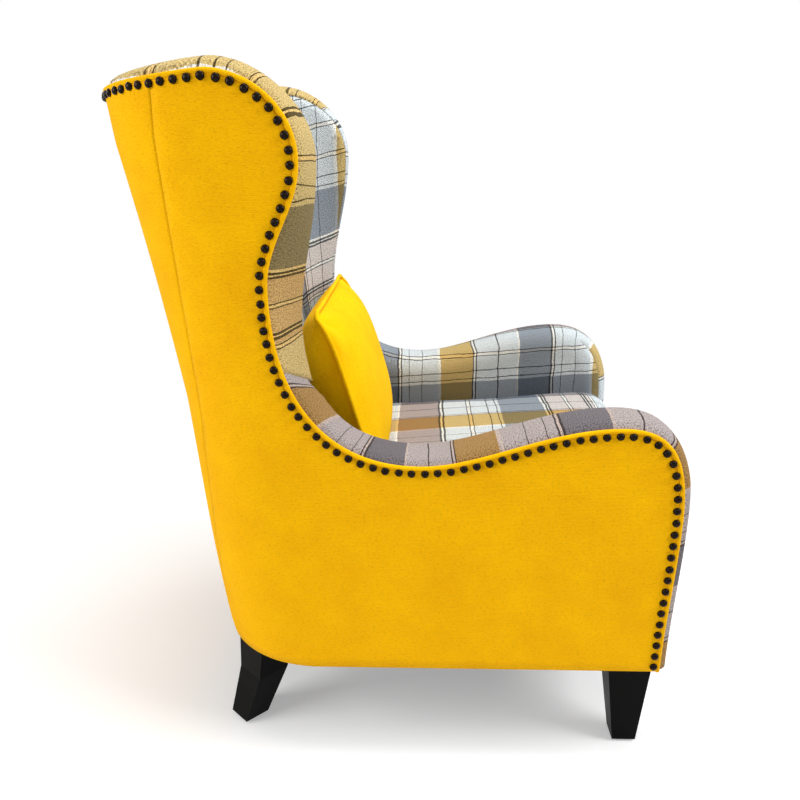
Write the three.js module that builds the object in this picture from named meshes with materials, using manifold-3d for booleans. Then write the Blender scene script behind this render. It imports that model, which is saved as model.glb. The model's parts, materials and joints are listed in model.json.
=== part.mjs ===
import * as THREE from 'three';
import { mergeVertices } from 'three/addons/utils/BufferGeometryUtils.js';
import Module from 'manifold-3d';

// Fireside chair: a beech frame, barrel-cornered outside panels, padded wings, arms and back,
// piping and nail trim round the edge, four legs, a loose seat cushion and a loose lumbar cushion.
// The chair faces +X, its sides are at -Y (right-hand) and +Y (left-hand), and it stands on Z = 0.

const wasm = await Module();
wasm.setup();

// Outside shape, in millimetres
const halfWidth = 345;
const baseZ = 167;
const backFootX = -294;
const backTopX = -441;
const backCurvePower = 1.35;
const cornerFootRadius = 172;
const cornerTopRadius = 200;
const rimFall = 14;
const seamAngle = 52;

// Turning points of the edge line that the piping follows, seen from the side
const armFrontX = 427;
const footSetback = 10;
const edgeFootX = armFrontX - footSetback;
const armFrontZ = 430;
const armHighX = 330;
const armHighZ = 573;
const armLowX = 35;
const armLowZ = 512;
const neckX = -175;
const wingFrontX = -126;
const wingTopX = -247;
const wingTopZ = 1055;

// How far up from the low of the arm to the top of the wing the neck and the wing's front lie
const neckShare = 0.477;
const wingFrontShare = 0.788;
const neckZ = armLowZ + neckShare * (wingTopZ - armLowZ);
const wingFrontZ = armLowZ + wingFrontShare * (wingTopZ - armLowZ);

// The inside edge of the padded band bows less at the neck
const innerNeckForward = 29;
const innerNeckShare = 0.687;
const innerWingForward = 10;
const innerNeckX = neckX + innerNeckForward;
const innerNeckZ = armLowZ + innerNeckShare * (neckZ - armLowZ);
const innerWingFrontX = wingFrontX + innerWingForward;

// How far each curve of the edge line holds its first and its last direction
const footHoldShares = [0.33, 0.33];
const armFrontHoldShares = [0.7, 0.7];
const armFallHoldShares = [0.38, 0.31];
const neckRiseHoldShares = [0.62, 0.64];
const wingSwellHoldShares = [0.37, 0.37];
const wingTopHoldShares = [0.59, 0.51];

// Outside panels and padded walls
const panelThickness = 5;
const sideWall = 95;
const lumbarWall = 178;
const topWall = 125;
const innerFootRadius = 90;
const innerTopRadius = 150;
const padThickness = 25;
const backPadThickness = 28;
const bandCrown = 12;
const bandCrownPower = 0.6;
const bandStepShares = [0, 0.12, 0.35, 0.65, 0.88, 1];
const rimRound = 36;
const padSplitShare = 0.53;
const padSplitZ = armHighZ + padSplitShare * (innerNeckZ - armHighZ);

// Piping and nail trim
const pipingRadius = 3.5;
const pipingInset = 1.4;
const pipingSides = 6;
const nailDiameter = 11;
const nailHeight = 5;
const nailPitch = 19.2;
const nailInset = 12.5;
const trimStrip = 4;
const trimThickness = 1;
const trimLift = 0.7;

// Front border below the seat cushion
const borderSetback = 3;
const borderDepth = 31;
const borderRound = 10;
const borderFrontX = armFrontX - borderSetback;

// Frame timbers
const railLift = 2.5;
const seatRailHeight = 80;
const seatRailThickness = 35;
const sideRailThickness = 30;
const backRailForward = 49;
const backRailEndInset = 55;
const sideFrameWidth = 55;
const armRailDrop = 72;
const wingBoardRise = 17;
const backPostWidth = 44;
const backPostFootForward = 70;
const backPostTopForward = 115;
const backPostTopDrop = 55;
const wingBoardThickness = 18;
const backRailDepth = 26;
const topRailDrop = 50;
const topRailHeight = 48;
const lowerRailZ = 400;
const lowerRailHeight = 45;
const cornerBlockLeg = 75;
const cornerBlockHeight = 45;

// Seat suspension and back webbing
const springCount = 5;
const springSideGap = 33.4;
const springWire = 4;
const springWidth = 46;
const springHalfWaves = 12;
const springSeat = 8;
const deckRise = 66.5;
const deckFall = 36;
const deckBackGap = 4;
const webbingCount = 3;
const webbingFirstZ = 500;
const webbingPitch = 110;
const webbingWidth = 55;
const webbingThickness = 2;

// Loose cushions
const cushionGap = 5;
const cushionOverhang = 16;
const cushionBackOverhang = 6;
const cushionSide = 118;
const cushionCrown = 24;
const cushionRearRadius = 95;
const cushionFrontRadius = 45;
const cushionPull = 6;
const cushionPullPower = 6;
const cushionBulge = 8;
const lumbarSideGap = 30;
const lumbarHeight = 312;
const lumbarThickness = 145;
const lumbarCornerRadius = 30;
const lumbarPull = 13;
const lumbarTilt = 16.5;
const lumbarBackGap = 3.3;
const lumbarSink = 26;

// Legs
const legTop = 72;
const legFoot = 39;
const frontLegSetback = 5;
const frontLegInset = 23;
const frontLegLean = 6;
const rearLegForward = 70;
const rearLegTop = 68;
const rearLegInset = 105;
const rearFootSize = 45;
const rearLegRake = 38;
const rearLegSplay = 7;
const rearKneeZ = 95;
const rearKneeForward = 8;
const glideRadius = 14;
const glideHeight = 4;
const boltRadius = 4;
const boltInLeg = 45;
const boltInRail = 30;
const dustCoverInset = 9;
const dustCoverThickness = 2;
const legOpening = 3;

// Fits, and how far a cut runs past what it cuts
const clearance = 0.3;
const overrun = 60;

// How finely curves are stepped
const edgeSteps = 6;
const seamSteps = 4;
const backSteps = 3;
const levelSteps = 8;
const topLevelDrop = 33;
const slopeStep = 10;
const crownSteps = 3;
const borderSteps = 3;
const cushionSteps = 4;
const roundSides = 12;
const wireSides = 4;

// Places that follow from the sizes above
const topLevelZ = wingTopZ - topLevelDrop;
const railBottomZ = baseZ + railLift;
const railTopZ = railBottomZ + seatRailHeight;
const frontRailFaceX = borderFrontX - borderDepth;
const frontRailX = frontRailFaceX - seatRailThickness;
const backRailX = backFootX + backRailForward;
const backRailHalfLength = halfWidth - backRailEndInset;
const armRailUndersideZ = armLowZ - armRailDrop;
const wingBoardZ = armHighZ + wingBoardRise;
const backPostFootX = backFootX + backPostFootForward;
const backPostTopX = backTopX + backPostTopForward;
const backPostTopZ = wingTopZ - backPostTopDrop;
const topRailZ = backPostTopZ - topRailDrop - topRailHeight;
const deckFrontZ = railTopZ + deckRise;
const deckBackX = backFootX + lumbarWall + deckBackGap;
const frontLegX = edgeFootX - frontLegSetback - legTop / 2;
const frontLegY = halfWidth - frontLegInset - legTop / 2;
const rearLegX = backFootX + rearLegForward;
const rearLegY = halfWidth - rearLegInset;
const frameOuterY = halfWidth - panelThickness - clearance;
const frameInnerY = frameOuterY - sideFrameWidth;
const innerHalfWidth = halfWidth - sideWall;
const cushionFrontX = borderFrontX + cushionOverhang;
const cushionBackX = deckBackX - cushionBackOverhang;
const lumbarHalfLength = innerHalfWidth - lumbarSideGap;
const postOuterY = frameInnerY - clearance;
const postInnerY = postOuterY - backPostWidth;
const springSpacing = 2 * (postInnerY - springWidth / 2 - springSideGap) / (springCount - 1);
const deckUndersideZ = railTopZ + 2 * clearance + springWire;
const legTopZ = railBottomZ - clearance;
const legFootZ = glideHeight + clearance;

const finish = (color, roughness, metalness = 0) => ({ color, roughness, metalness, flatShading: true });

const finishes = {
  outside: finish('#efb400', 0.9),
  plaid: finish('#a9a7a0', 0.95),
  beech: finish('#c39a66', 0.65),
  darkWood: finish('#0b0a09', 0.35),
  bronze: finish('#1e1713', 0.3, 0.8),
  steel: finish('#8d9093', 0.4, 0.9),
  hessian: finish('#2b2a28', 0.95),
  webbing: finish('#6d5a41', 0.9),
};

const { lerp, clamp, degToRad } = THREE.MathUtils;
const point = (x, y, z) => new THREE.Vector3(x, y, z);
const levelShare = (z) => clamp((z - baseZ) / (wingTopZ - baseZ), 0, 1);
const backX = (z) => lerp(backFootX, backTopX, levelShare(z) ** backCurvePower);
const cornerRadius = (z) => lerp(cornerFootRadius, cornerTopRadius, levelShare(z));
const innerRadius = (z) => lerp(innerFootRadius, innerTopRadius, levelShare(z));
const backWall = (z) => lerp(lumbarWall, topWall, levelShare(z) ** 2);

// Closed geometries become manifold solids for cutting, and come back as geometries

function solidOf(geometry) {
  const bare = geometry.clone();
  bare.deleteAttribute('normal');
  bare.deleteAttribute('uv');
  const merged = mergeVertices(bare);
  return new wasm.Manifold(new wasm.Mesh({
    numProp: 3,
    vertProperties: new Float32Array(merged.attributes.position.array),
    triVerts: new Uint32Array(merged.index.array),
  }));
}

function geometryOf(solid) {
  const { vertProperties, triVerts } = solid.getMesh();
  const geometry = new THREE.BufferGeometry();
  geometry.setAttribute('position', new THREE.BufferAttribute(new Float32Array(vertProperties), 3));
  geometry.setIndex([...triVerts]);
  geometry.computeVertexNormals();
  return geometry;
}

function signedVolume(geometry) {
  const { position } = geometry.attributes;
  const corners = [point(0, 0, 0), point(0, 0, 0), point(0, 0, 0)];
  let sum = 0;
  for (let i = 0; i < geometry.index.count; i += 3) {
    corners.forEach((corner, k) => corner.fromBufferAttribute(position, geometry.index.getX(i + k)));
    sum += corners[0].dot(corners[1].clone().cross(corners[2]));
  }
  return sum;
}

function flipped(geometry) {
  const index = geometry.index.array;
  for (let i = 0; i < index.length; i += 3) {
    [index[i], index[i + 1]] = [index[i + 1], index[i]];
  }
  return geometry;
}

function mirrored(solid) {
  const geometry = geometryOf(solid);
  geometry.scale(1, -1, 1);
  return solidOf(flipped(geometry));
}

// Joins rings of equally many points into a closed solid, with capped ends

function loft(rings) {
  const count = rings[0].length;
  const last = count * (rings.length - 1);
  const normal = point(0, 0, 0);
  rings[0].forEach((p, i) => normal.add(p.clone().cross(rings[0][(i + 1) % count])));
  const main = ['x', 'y', 'z'].reduce((a, b) => (Math.abs(normal[b]) > Math.abs(normal[a]) ? b : a));
  const [u, v] = { x: ['y', 'z'], y: ['z', 'x'], z: ['x', 'y'] }[main];
  const faces = [];
  for (let ring = 0; ring < rings.length - 1; ring += 1) {
    for (let i = 0; i < count; i += 1) {
      const a = ring * count + i;
      const b = ring * count + (i + 1) % count;
      faces.push(a, b, b + count, a, b + count, a + count);
    }
  }
  const capOf = (ring) => {
    const flat = ring.map((p) => new THREE.Vector2(p[u], p[v]));
    const triangles = THREE.ShapeUtils.triangulateShape(flat, []);
    const { area } = THREE.ShapeUtils;
    const covered = triangles.reduce((sum, corners) => sum + area(corners.map((i) => flat[i])), 0);
    return covered * area(flat) > 0 ? triangles : triangles.map(([a, b, c]) => [a, c, b]);
  };
  capOf(rings[0]).forEach(([a, b, c]) => faces.push(a, c, b));
  capOf(rings.at(-1)).forEach(([a, b, c]) => faces.push(a + last, b + last, c + last));
  const geometry = new THREE.BufferGeometry().setFromPoints(rings.flat());
  geometry.setIndex(faces);
  return solidOf(signedVolume(geometry) < 0 ? flipped(geometry) : geometry);
}

function box(low, high) {
  const geometry = new THREE.BoxGeometry(...high.map((value, axis) => value - low[axis]));
  geometry.translate(...high.map((value, axis) => (value + low[axis]) / 2));
  return solidOf(geometry);
}

const prism = (plan, zLow, zHigh) => loft([zLow, zHigh].map((z) => plan.map(([x, y]) => point(x, y, z))));
const acrossProfile = (side, yLow, yHigh) =>
  loft([yLow, yHigh].map((y) => side.map(([x, z]) => point(x, y, z))));

function upright(x, y, radius, zLow, zHigh) {
  const geometry = new THREE.CylinderGeometry(radius, radius, zHigh - zLow, roundSides);
  geometry.rotateX(Math.PI / 2);
  geometry.translate(x, y, (zLow + zHigh) / 2);
  return solidOf(geometry);
}

// Plans of the right-hand half at one level, from the front to the middle of the back. All of them
// turn the corner at the same angles, one of which is the seam, so that their facets stay parallel.

const cornerAngles = [
  ...Array.from({ length: seamSteps }, (_, i) => seamAngle * i / seamSteps),
  ...Array.from({ length: backSteps + 1 }, (_, i) => lerp(seamAngle, 90, i / backSteps)),
].map((angle) => degToRad(90 + angle));

function cornerArc([x, y], radius) {
  return cornerAngles.map((angle) => [x + radius * Math.cos(angle), y - radius * Math.sin(angle)]);
}

function outerRun(z, inset, frontX) {
  const radius = cornerRadius(z);
  const centre = [backX(z) + radius, radius - halfWidth];
  return [[frontX, inset - halfWidth], ...cornerArc(centre, radius - inset)];
}

function innerRun(z, outset, backOutset, frontX) {
  const radius = innerRadius(z);
  const centre = [
    backX(z) + backWall(z) + radius + outset - backOutset,
    radius - innerHalfWidth,
  ];
  return [[frontX, -innerHalfWidth - outset], ...cornerArc(centre, radius + outset)];
}

const acrossY = (run) => [...run, ...run.map(([x, y]) => [x, -y]).reverse()];

// Levels from the base up, the same for every wall, with the last one where that wall ends

const levelsUpTo = (high) =>
  [...Array.from({ length: levelSteps }, (_, i) => lerp(baseZ, topLevelZ, i / (levelSteps - 1))), high];

// The rim drops a little toward the middle of the back

function rimDrop(x, z) {
  const reach = clamp((wingTopX - x) / (wingTopX - backTopX), 0, 1);
  const rise = clamp((z - neckZ) / (wingTopZ - neckZ), 0, 1);
  return rimFall * reach * rise;
}

const raised = (run, z) => run.map(([x, y]) => point(x, y, z - rimDrop(x, z)));

// The edge line in the side view: curves between its turning points, each upright or level there

function edgeCurves(neck, wing) {
  const foot = [edgeFootX, baseZ];
  const armFront = [armFrontX, armFrontZ];
  const armHigh = [armHighX, armHighZ];
  const armLow = [armLowX, armLowZ];
  const wingTop = [wingTopX, wingTopZ];
  const curve = (from, to, [first, second], leavesUpright, arrivesUpright) => {
    const toward = (start, end, share, isUpright) => (isUpright
      ? [start[0], lerp(start[1], end[1], share)]
      : [lerp(start[0], end[0], share), start[1]]);
    const knots = [
      from,
      toward(from, to, first, leavesUpright),
      toward(to, from, second, arrivesUpright),
      to,
    ];
    return new THREE.CubicBezierCurve(...knots.map(([x, z]) => new THREE.Vector2(x, z)));
  };
  return [
    curve(foot, armFront, footHoldShares, true, true),
    curve(armFront, armHigh, armFrontHoldShares, true, false),
    curve(armHigh, armLow, armFallHoldShares, false, false),
    curve(armLow, neck, neckRiseHoldShares, false, true),
    curve(neck, wing, wingSwellHoldShares, true, true),
    curve(wing, wingTop, wingTopHoldShares, true, false),
  ];
}

function edgeLine(inset, isInner = false) {
  const neck = isInner ? [innerNeckX, innerNeckZ] : [neckX, neckZ];
  const wing = [isInner ? innerWingFrontX : wingFrontX, wingFrontZ];
  return edgeCurves(neck, wing).flatMap((curve, part) => {
    const points = Array.from({ length: edgeSteps + 1 }, (_, i) => {
      const at = curve.getPoint(i / edgeSteps);
      const along = curve.getTangent(i / edgeSteps);
      return [at.x - along.y * inset, at.y + along.x * inset];
    });
    return part ? points.slice(1) : points;
  });
}

// The side view inside the edge line, carried out past the back and below the base

function sideRing(points, y) {
  const farX = backTopX - overrun;
  const highZ = wingTopZ + overrun;
  const lowZ = baseZ - overrun;
  const footX = points[0][0];
  const outline = [
    ...points,
    [points.at(-1)[0], highZ],
    [farX, highZ],
    [farX, lowZ],
    [footX, lowZ],
  ];
  return outline.map(([x, z]) => point(x, y, z));
}

function sideCutter(inset) {
  return loft([-halfWidth - overrun, 0].map((y) => sideRing(edgeLine(inset), y)));
}

// The padded band is crowned across its width, between the outside edge and the inside edge

function crownedCutter() {
  const outer = edgeLine(0);
  const crown = edgeLine(-bandCrown);
  const inner = edgeLine(0, true);
  const across = (share) => outer.map(([x, z], i) => {
    const swell = Math.sin(Math.PI * share) ** bandCrownPower;
    return [
      lerp(x, inner[i][0], share) + (crown[i][0] - x) * swell,
      lerp(z, inner[i][1], share) + (crown[i][1] - z) * swell,
    ];
  });
  return loft([
    sideRing(outer, -halfWidth - overrun),
    ...bandStepShares.map((share) => sideRing(across(share), -lerp(frameOuterY, innerHalfWidth, share))),
    sideRing(inner, 0),
  ]);
}

// The outside panels run from the front to a seam on the barrel corner, and across the back

function outsidePanels() {
  const frontX = armFrontX + overrun;
  const levels = levelsUpTo(wingTopZ - pipingRadius - clearance);
  const toSeam = (z, inset) => {
    const run = outerRun(z, inset, frontX).slice(0, seamSteps + 2);
    const [before, seam] = run.splice(-2);
    const share = 1 - clearance / Math.hypot(seam[0] - before[0], seam[1] - before[1]);
    return [...run, before, [lerp(before[0], seam[0], share), lerp(before[1], seam[1], share)]];
  };
  const fromSeam = (z, inset) => acrossY(outerRun(z, inset, frontX).slice(seamSteps + 1));
  const shell = (plan) => loft(levels.map((z) =>
    raised([...plan(z, 0), ...plan(z, panelThickness).reverse()], z)));
  return { side: shell(toSeam).intersect(sideCutter(pipingRadius + clearance)), back: shell(fromSeam) };
}

// The whole padded wall, from the right arm round the back to the left arm, before it is parted

function wallRing(z, planZ, outerInset, outset, backOutset) {
  const frontX = armFrontX + overrun;
  const inner = acrossY(innerRun(planZ, outset, backOutset, frontX)).reverse();
  return raised([...acrossY(outerRun(planZ, outerInset, frontX)), ...inner], z);
}

function paddedWall() {
  const cutter = crownedCutter();
  const hollowCutter = sideCutter(padThickness);
  const outerInset = panelThickness + clearance;
  const walls = levelsUpTo(wingTopZ).map((z) => wallRing(z, z, outerInset, 0, 0));
  for (let i = 1; i <= crownSteps; i += 1) {
    const angle = Math.PI / 2 * i / crownSteps;
    const squeeze = rimRound * (1 - Math.cos(angle));
    const crownZ = wingTopZ + bandCrown * Math.sin(angle);
    walls.push(wallRing(crownZ, wingTopZ, outerInset + squeeze, squeeze, 0));
  }
  const hollows = levelsUpTo(wingTopZ - padThickness).map((z) =>
    wallRing(z, z, -overrun, padThickness, backPadThickness));
  const railSpace = box(
    [backTopX - overrun, -halfWidth - overrun, baseZ - overrun],
    [frontRailFaceX + clearance, halfWidth + overrun, deckUndersideZ],
  );
  return loft(walls)
    .intersect(cutter.add(mirrored(cutter)))
    .subtract(loft(hollows).intersect(hollowCutter.add(mirrored(hollowCutter))))
    .subtract(railSpace);
}

function paddedPieces() {
  const wall = paddedWall();
  const gap = clearance / 2;
  const backEdge = halfWidth - cornerTopRadius;
  const low = [backTopX - overrun, -halfWidth - overrun, baseZ - overrun];
  const high = [armFrontX + overrun, 0, wingTopZ + overrun];
  const armSpace = box(
    [innerNeckX - gap, low[1], low[2]],
    [high[0], clearance - innerHalfWidth, padSplitZ + gap],
  );
  const legRoom = prism(squarePlan(frontLegX, -frontLegY, legTop / 2 + clearance), low[2], railBottomZ);
  return {
    arm: wall.intersect(box([innerNeckX + gap, low[1], low[2]], [high[0], -innerHalfWidth, padSplitZ - gap]))
      .subtract(legRoom),
    wing: wall.intersect(box(low, [high[0], -backEdge - gap, high[2]])).subtract(armSpace),
    back: wall.intersect(box([low[0], gap - backEdge, low[2]], [high[0], backEdge - gap, high[2]])),
  };
}

// The space inside the outside panels trims every timber that reaches them

function insideSpace() {
  return loft(levelsUpTo(wingTopZ).map((z) =>
    raised(acrossY(outerRun(z, panelThickness + clearance, armFrontX)), z)));
}

// The room between the inside faces, for the deck

function sittingSpace() {
  return loft(levelsUpTo(wingTopZ).map((z) =>
    raised(acrossY(innerRun(z, -clearance, -clearance, armFrontX)), z)));
}

// Timbers and straps that lean with the back: a plan rectangle about the posts' line at two levels

const postLine = (z) => lerp(backPostFootX, backPostTopX, (z - railTopZ) / (backPostTopZ - railTopZ));

function leaning([xLow, xHigh], [yLow, yHigh], [zLow, zHigh]) {
  return loft([zLow, zHigh].map((z) => [
    point(postLine(z) + xLow, yLow, z),
    point(postLine(z) + xHigh, yLow, z),
    point(postLine(z) + xHigh, yHigh, z),
    point(postLine(z) + xLow, yHigh, z),
  ]));
}

function boltHole(x, y) {
  const top = railBottomZ + boltInRail + clearance;
  const bottom = railBottomZ - boltInLeg - clearance;
  return upright(x, y, boltRadius + clearance, bottom, top)
    .add(upright(x, -y, boltRadius + clearance, bottom, top));
}

function seatFrame(space) {
  const sideRailEndX = frontRailX - clearance;
  const sideRailStartX = backRailX + seatRailThickness + clearance;
  const blockY = sideRailThickness - frameOuterY + clearance;
  const blockPlan = (x, way) =>
    [[x, blockY], [x + way * cornerBlockLeg, blockY], [x, blockY + cornerBlockLeg]];
  const blockTop = railBottomZ + cornerBlockHeight;
  return {
    frontRail: box([frontRailX, -frameOuterY, railBottomZ], [frontRailFaceX, frameOuterY, railTopZ])
      .subtract(boltHole(frontLegX, frontLegY)),
    backRail: box(
      [backRailX, -backRailHalfLength, railBottomZ],
      [backRailX + seatRailThickness, backRailHalfLength, railTopZ],
    ).intersect(space).subtract(boltHole(rearLegX, rearLegY)),
    sideRail: box(
      [sideRailStartX, -frameOuterY, railBottomZ],
      [sideRailEndX, sideRailThickness - frameOuterY, railTopZ],
    ).intersect(space),
    frontBlock: prism(blockPlan(sideRailEndX, -1), railBottomZ, blockTop),
    rearBlock: prism(blockPlan(sideRailStartX, 1), railBottomZ, blockTop).intersect(space),
  };
}

function upperFrame(space) {
  const sideShape = sideCutter(padThickness + clearance).intersect(space);
  const railY = [clearance - postInnerY, postInnerY - clearance];
  const railX = [-backPostWidth / 2, backRailDepth - backPostWidth / 2];
  const wingBoardY = frameInnerY + wingBoardThickness;
  return {
    armPost: box(
      [frontRailX, -frameOuterY, railTopZ + clearance],
      [frontRailFaceX, -frameInnerY, armRailUndersideZ - clearance],
    ),
    armRail: box(
      [backRailX, -frameOuterY, armRailUndersideZ],
      [armFrontX, -frameInnerY, wingBoardZ - clearance],
    ).intersect(sideShape),
    wingBoard: box([backPostTopX, -wingBoardY, wingBoardZ], [armFrontX, -frameInnerY, backPostTopZ])
      .intersect(sideShape),
    backPost: leaning(
      [-backPostWidth / 2, backPostWidth / 2],
      [-postOuterY, -postInnerY],
      [railTopZ + clearance, backPostTopZ],
    ).intersect(space),
    topRail: leaning(railX, railY, [topRailZ, topRailZ + topRailHeight]),
    lowerRail: leaning(railX, railY, [lowerRailZ, lowerRailZ + lowerRailHeight]),
  };
}

function webbingStrap(z) {
  const face = backPostWidth / 2 + clearance;
  return leaning([face, face + webbingThickness], [-postOuterY, postOuterY], [z, z + webbingWidth]);
}

// Convex rings swept along a path: piping, springs and the nail trim

function sweep(stations, section) {
  return loft(stations.map(({ at, across, out }, i) => section(i).map(([side, lift]) =>
    at.clone().addScaledVector(across, side).addScaledVector(out, lift))));
}

const roundSection = (radius, sides) => Array.from({ length: sides }, (_, k) => {
  const angle = Math.PI * 2 * (k + 0.5) / sides;
  return [radius * Math.cos(angle), radius * Math.sin(angle)];
});

function stationsAlong(run) {
  return run.map(({ at, out }, i) => {
    const next = run[Math.min(i + 1, run.length - 1)].at;
    const before = run[Math.max(i - 1, 0)].at;
    const along = point(0, 0, 0).subVectors(next, before).normalize();
    const across = point(0, 0, 0).crossVectors(along, out).normalize();
    return { at, across, out: point(0, 0, 0).crossVectors(across, along) };
  });
}

function zigzagSpring(y) {
  const start = backRailX + springSeat;
  const end = frontRailFaceX - springSeat;
  const z = railTopZ + clearance + springWire / 2;
  const run = Array.from({ length: springHalfWaves + 1 }, (_, i) => ({
    at: point(lerp(start, end, i / springHalfWaves), y + (i % 2 ? 1 : -1) * springWidth / 2, z),
    out: point(0, 0, 1),
  }));
  const wire = roundSection(springWire / Math.SQRT2, wireSides);
  return sweep(stationsAlong(run), () => wire);
}

// The right-hand half of the edge in space: up the front, over the wing and round to the back.
// The side view ends where the corner starts, so the corner's own first point is left out.

function edgeRun(inset, depth) {
  const side = edgeLine(inset).map(([x, z]) =>
    ({ at: point(x, depth - halfWidth, z), out: point(0, -1, 0) }));
  const z = wingTopZ - inset;
  const cornerAt = (level) => outerRun(level, depth, wingTopX).slice(2);
  const below = cornerAt(z - slopeStep);
  const corner = cornerAt(z).map(([x, y], i) => {
    const [towardX, towardY] = [Math.cos(cornerAngles[i + 1]), -Math.sin(cornerAngles[i + 1])];
    const lean = (towardX * (x - below[i][0]) + towardY * (y - below[i][1])) / slopeStep;
    return { at: point(x, y, z - rimDrop(x, z)), out: point(towardX, towardY, -lean).normalize() };
  });
  return [...side, ...corner];
}

function mirroredRun(run) {
  const across = point(1, -1, 1);
  return run.map(({ at, out }) => ({ at: at.clone().multiply(across), out: out.clone().multiply(across) }));
}

function piping() {
  const right = edgeRun(0, pipingInset);
  const run = [...right, ...mirroredRun(right).reverse()];
  const section = roundSection(pipingRadius, pipingSides);
  return sweep(stationsAlong(run), () => section);
}

// Domed nails on a strip: wide and high at each nail, narrow and low between two

function nailTrim(run) {
  const lengths = run.map(() => 0);
  for (let i = 1; i < run.length; i += 1) {
    lengths[i] = lengths[i - 1] + run[i].at.distanceTo(run[i - 1].at);
  }
  const total = lengths.at(-1);
  const nails = Math.round(total / nailPitch);
  const stations = Array.from({ length: 2 * nails + 1 }, (_, step) => {
    const distance = total * step / (2 * nails);
    const i = clamp(lengths.findIndex((length) => length >= distance), 1, run.length - 1);
    const share = (distance - lengths[i - 1]) / (lengths[i] - lengths[i - 1]);
    return {
      at: run[i - 1].at.clone().lerp(run[i].at, share),
      out: run[i - 1].out.clone().lerp(run[i].out, share).normalize(),
    };
  });
  return sweep(stationsAlong(stations), (step) => {
    const onNail = step % 2 === 1;
    const half = (onNail ? nailDiameter : trimStrip) / 2;
    const high = trimLift + (onNail ? nailHeight : trimThickness);
    return [[-half, trimLift], [half, trimLift], [half / 2, high], [-half / 2, high]];
  });
}

function nailTrims() {
  const run = edgeRun(nailInset, 0);
  const onBack = run.slice(-backSteps - 1);
  const share = trimStrip / onBack[0].at.distanceTo(onBack[1].at);
  onBack[0] = { at: onBack[0].at.clone().lerp(onBack[1].at, share), out: onBack[0].out };
  return {
    side: nailTrim(run.slice(0, -backSteps)),
    back: nailTrim([...onBack, ...mirroredRun(onBack).reverse()]),
  };
}

// A rectangle with rounded corners; its sides bow in by the pull, and its front bows out

function cushionPlan({ low, high, halfY, rearRadius, frontRadius, pull, bulge }) {
  const corners = [
    [high - frontRadius, halfY - frontRadius, frontRadius, 0],
    [low + rearRadius, halfY - rearRadius, rearRadius, 90],
    [low + rearRadius, rearRadius - halfY, rearRadius, 180],
    [high - frontRadius, frontRadius - halfY, frontRadius, 270],
  ];
  const middleX = (low + high) / 2;
  const halfX = (high - low) / 2;
  const outline = corners.flatMap(([x, y, radius, start]) =>
    Array.from({ length: cushionSteps + 1 }, (_, i) => {
      const angle = degToRad(start + 90 * i / cushionSteps);
      return [x + radius * Math.cos(angle), y + radius * Math.sin(angle)];
    }));
  const withMiddles = outline.flatMap((at, i) => {
    const next = outline[(i + 1) % outline.length];
    const endsCorner = i % (cushionSteps + 1) === cushionSteps;
    return endsCorner ? [at, [(at[0] + next[0]) / 2, (at[1] + next[1]) / 2]] : [at];
  });
  return withMiddles.map(([x, y]) => {
    const [u, v] = [(x - middleX) / halfX, y / halfY];
    const endPull = u > 0 ? -bulge : pull;
    const atEnd = Math.abs(u) ** cushionPullPower * (1 - v * v);
    const atSide = Math.abs(v) ** cushionPullPower * (1 - u * u);
    return [x - Math.sign(u) * endPull * atEnd, y - Math.sign(v) * pull * atSide];
  });
}

function cushion(plan, levels) {
  const middle = [0, 1].map((axis) => {
    const values = plan.map((at) => at[axis]);
    return (Math.min(...values) + Math.max(...values)) / 2;
  });
  return loft(levels.map(([share, z]) => plan.map(([x, y]) =>
    point(lerp(middle[0], x, share), lerp(middle[1], y, share), z))));
}

// Each level of a cushion: its share of the plan, and its share of the rise

const seatSideShares = [[0.5, 0], [0.93, 0], [0.985, 0.08], [1, 0.3], [1, 0.75], [0.985, 0.93], [0.95, 1]];
const seatCrownShares = [[0.85, 0.3], [0.65, 0.64], [0.4, 0.88], [0.15, 0.98]];
const lumbarLevelShares = [[1, 0.03], [0.93, 0.3], [0.8, 0.56], [0.6, 0.8], [0.35, 0.95], [0.12, 1]];

function seatCushion() {
  const plan = cushionPlan({
    low: cushionBackX,
    high: cushionFrontX,
    halfY: innerHalfWidth - cushionGap,
    rearRadius: cushionRearRadius,
    frontRadius: cushionFrontRadius,
    pull: cushionPull,
    bulge: cushionBulge,
  });
  const levels = [
    ...seatSideShares.map(([share, rise]) => [share, rise * cushionSide]),
    ...seatCrownShares.map(([share, rise]) => [share, cushionSide + rise * cushionCrown]),
  ];
  return geometryOf(cushion(plan, levels));
}

function lumbarCushion() {
  const plan = cushionPlan({
    low: -lumbarHeight / 2,
    high: lumbarHeight / 2,
    halfY: lumbarHalfLength,
    rearRadius: lumbarCornerRadius,
    frontRadius: lumbarCornerRadius,
    pull: lumbarPull,
    bulge: -lumbarPull,
  });
  const half = lumbarLevelShares.map(([share, rise]) => [share, rise * lumbarThickness / 2]);
  const back = half.map(([share, rise]) => [share, -rise]).reverse();
  return geometryOf(cushion(plan, [...back, ...half]));
}

// Legs: square tapers in front; behind, turned to face the corner, kneed and raked

const squarePlan = (x, y, half) => [[-half, -half], [half, -half], [half, half], [-half, half]]
  .map(([u, v]) => [x + u, y + v]);
const diamondPlan = (x, y, half) => [[-half, 0], [0, -half], [half, 0], [0, half]]
  .map(([u, v]) => [x + u * Math.SQRT2, y + v * Math.SQRT2]);

function legFrom(levels) {
  return loft(levels.map(({ plan, z }) => plan.map(([x, y]) => point(x, y, z))));
}

function frontLeg() {
  return legFrom([
    { plan: squarePlan(frontLegX + frontLegLean, -frontLegY, legFoot / 2), z: legFootZ },
    { plan: squarePlan(frontLegX, -frontLegY, legTop / 2), z: legTopZ },
  ]).subtract(boltHole(frontLegX, frontLegY));
}

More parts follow.
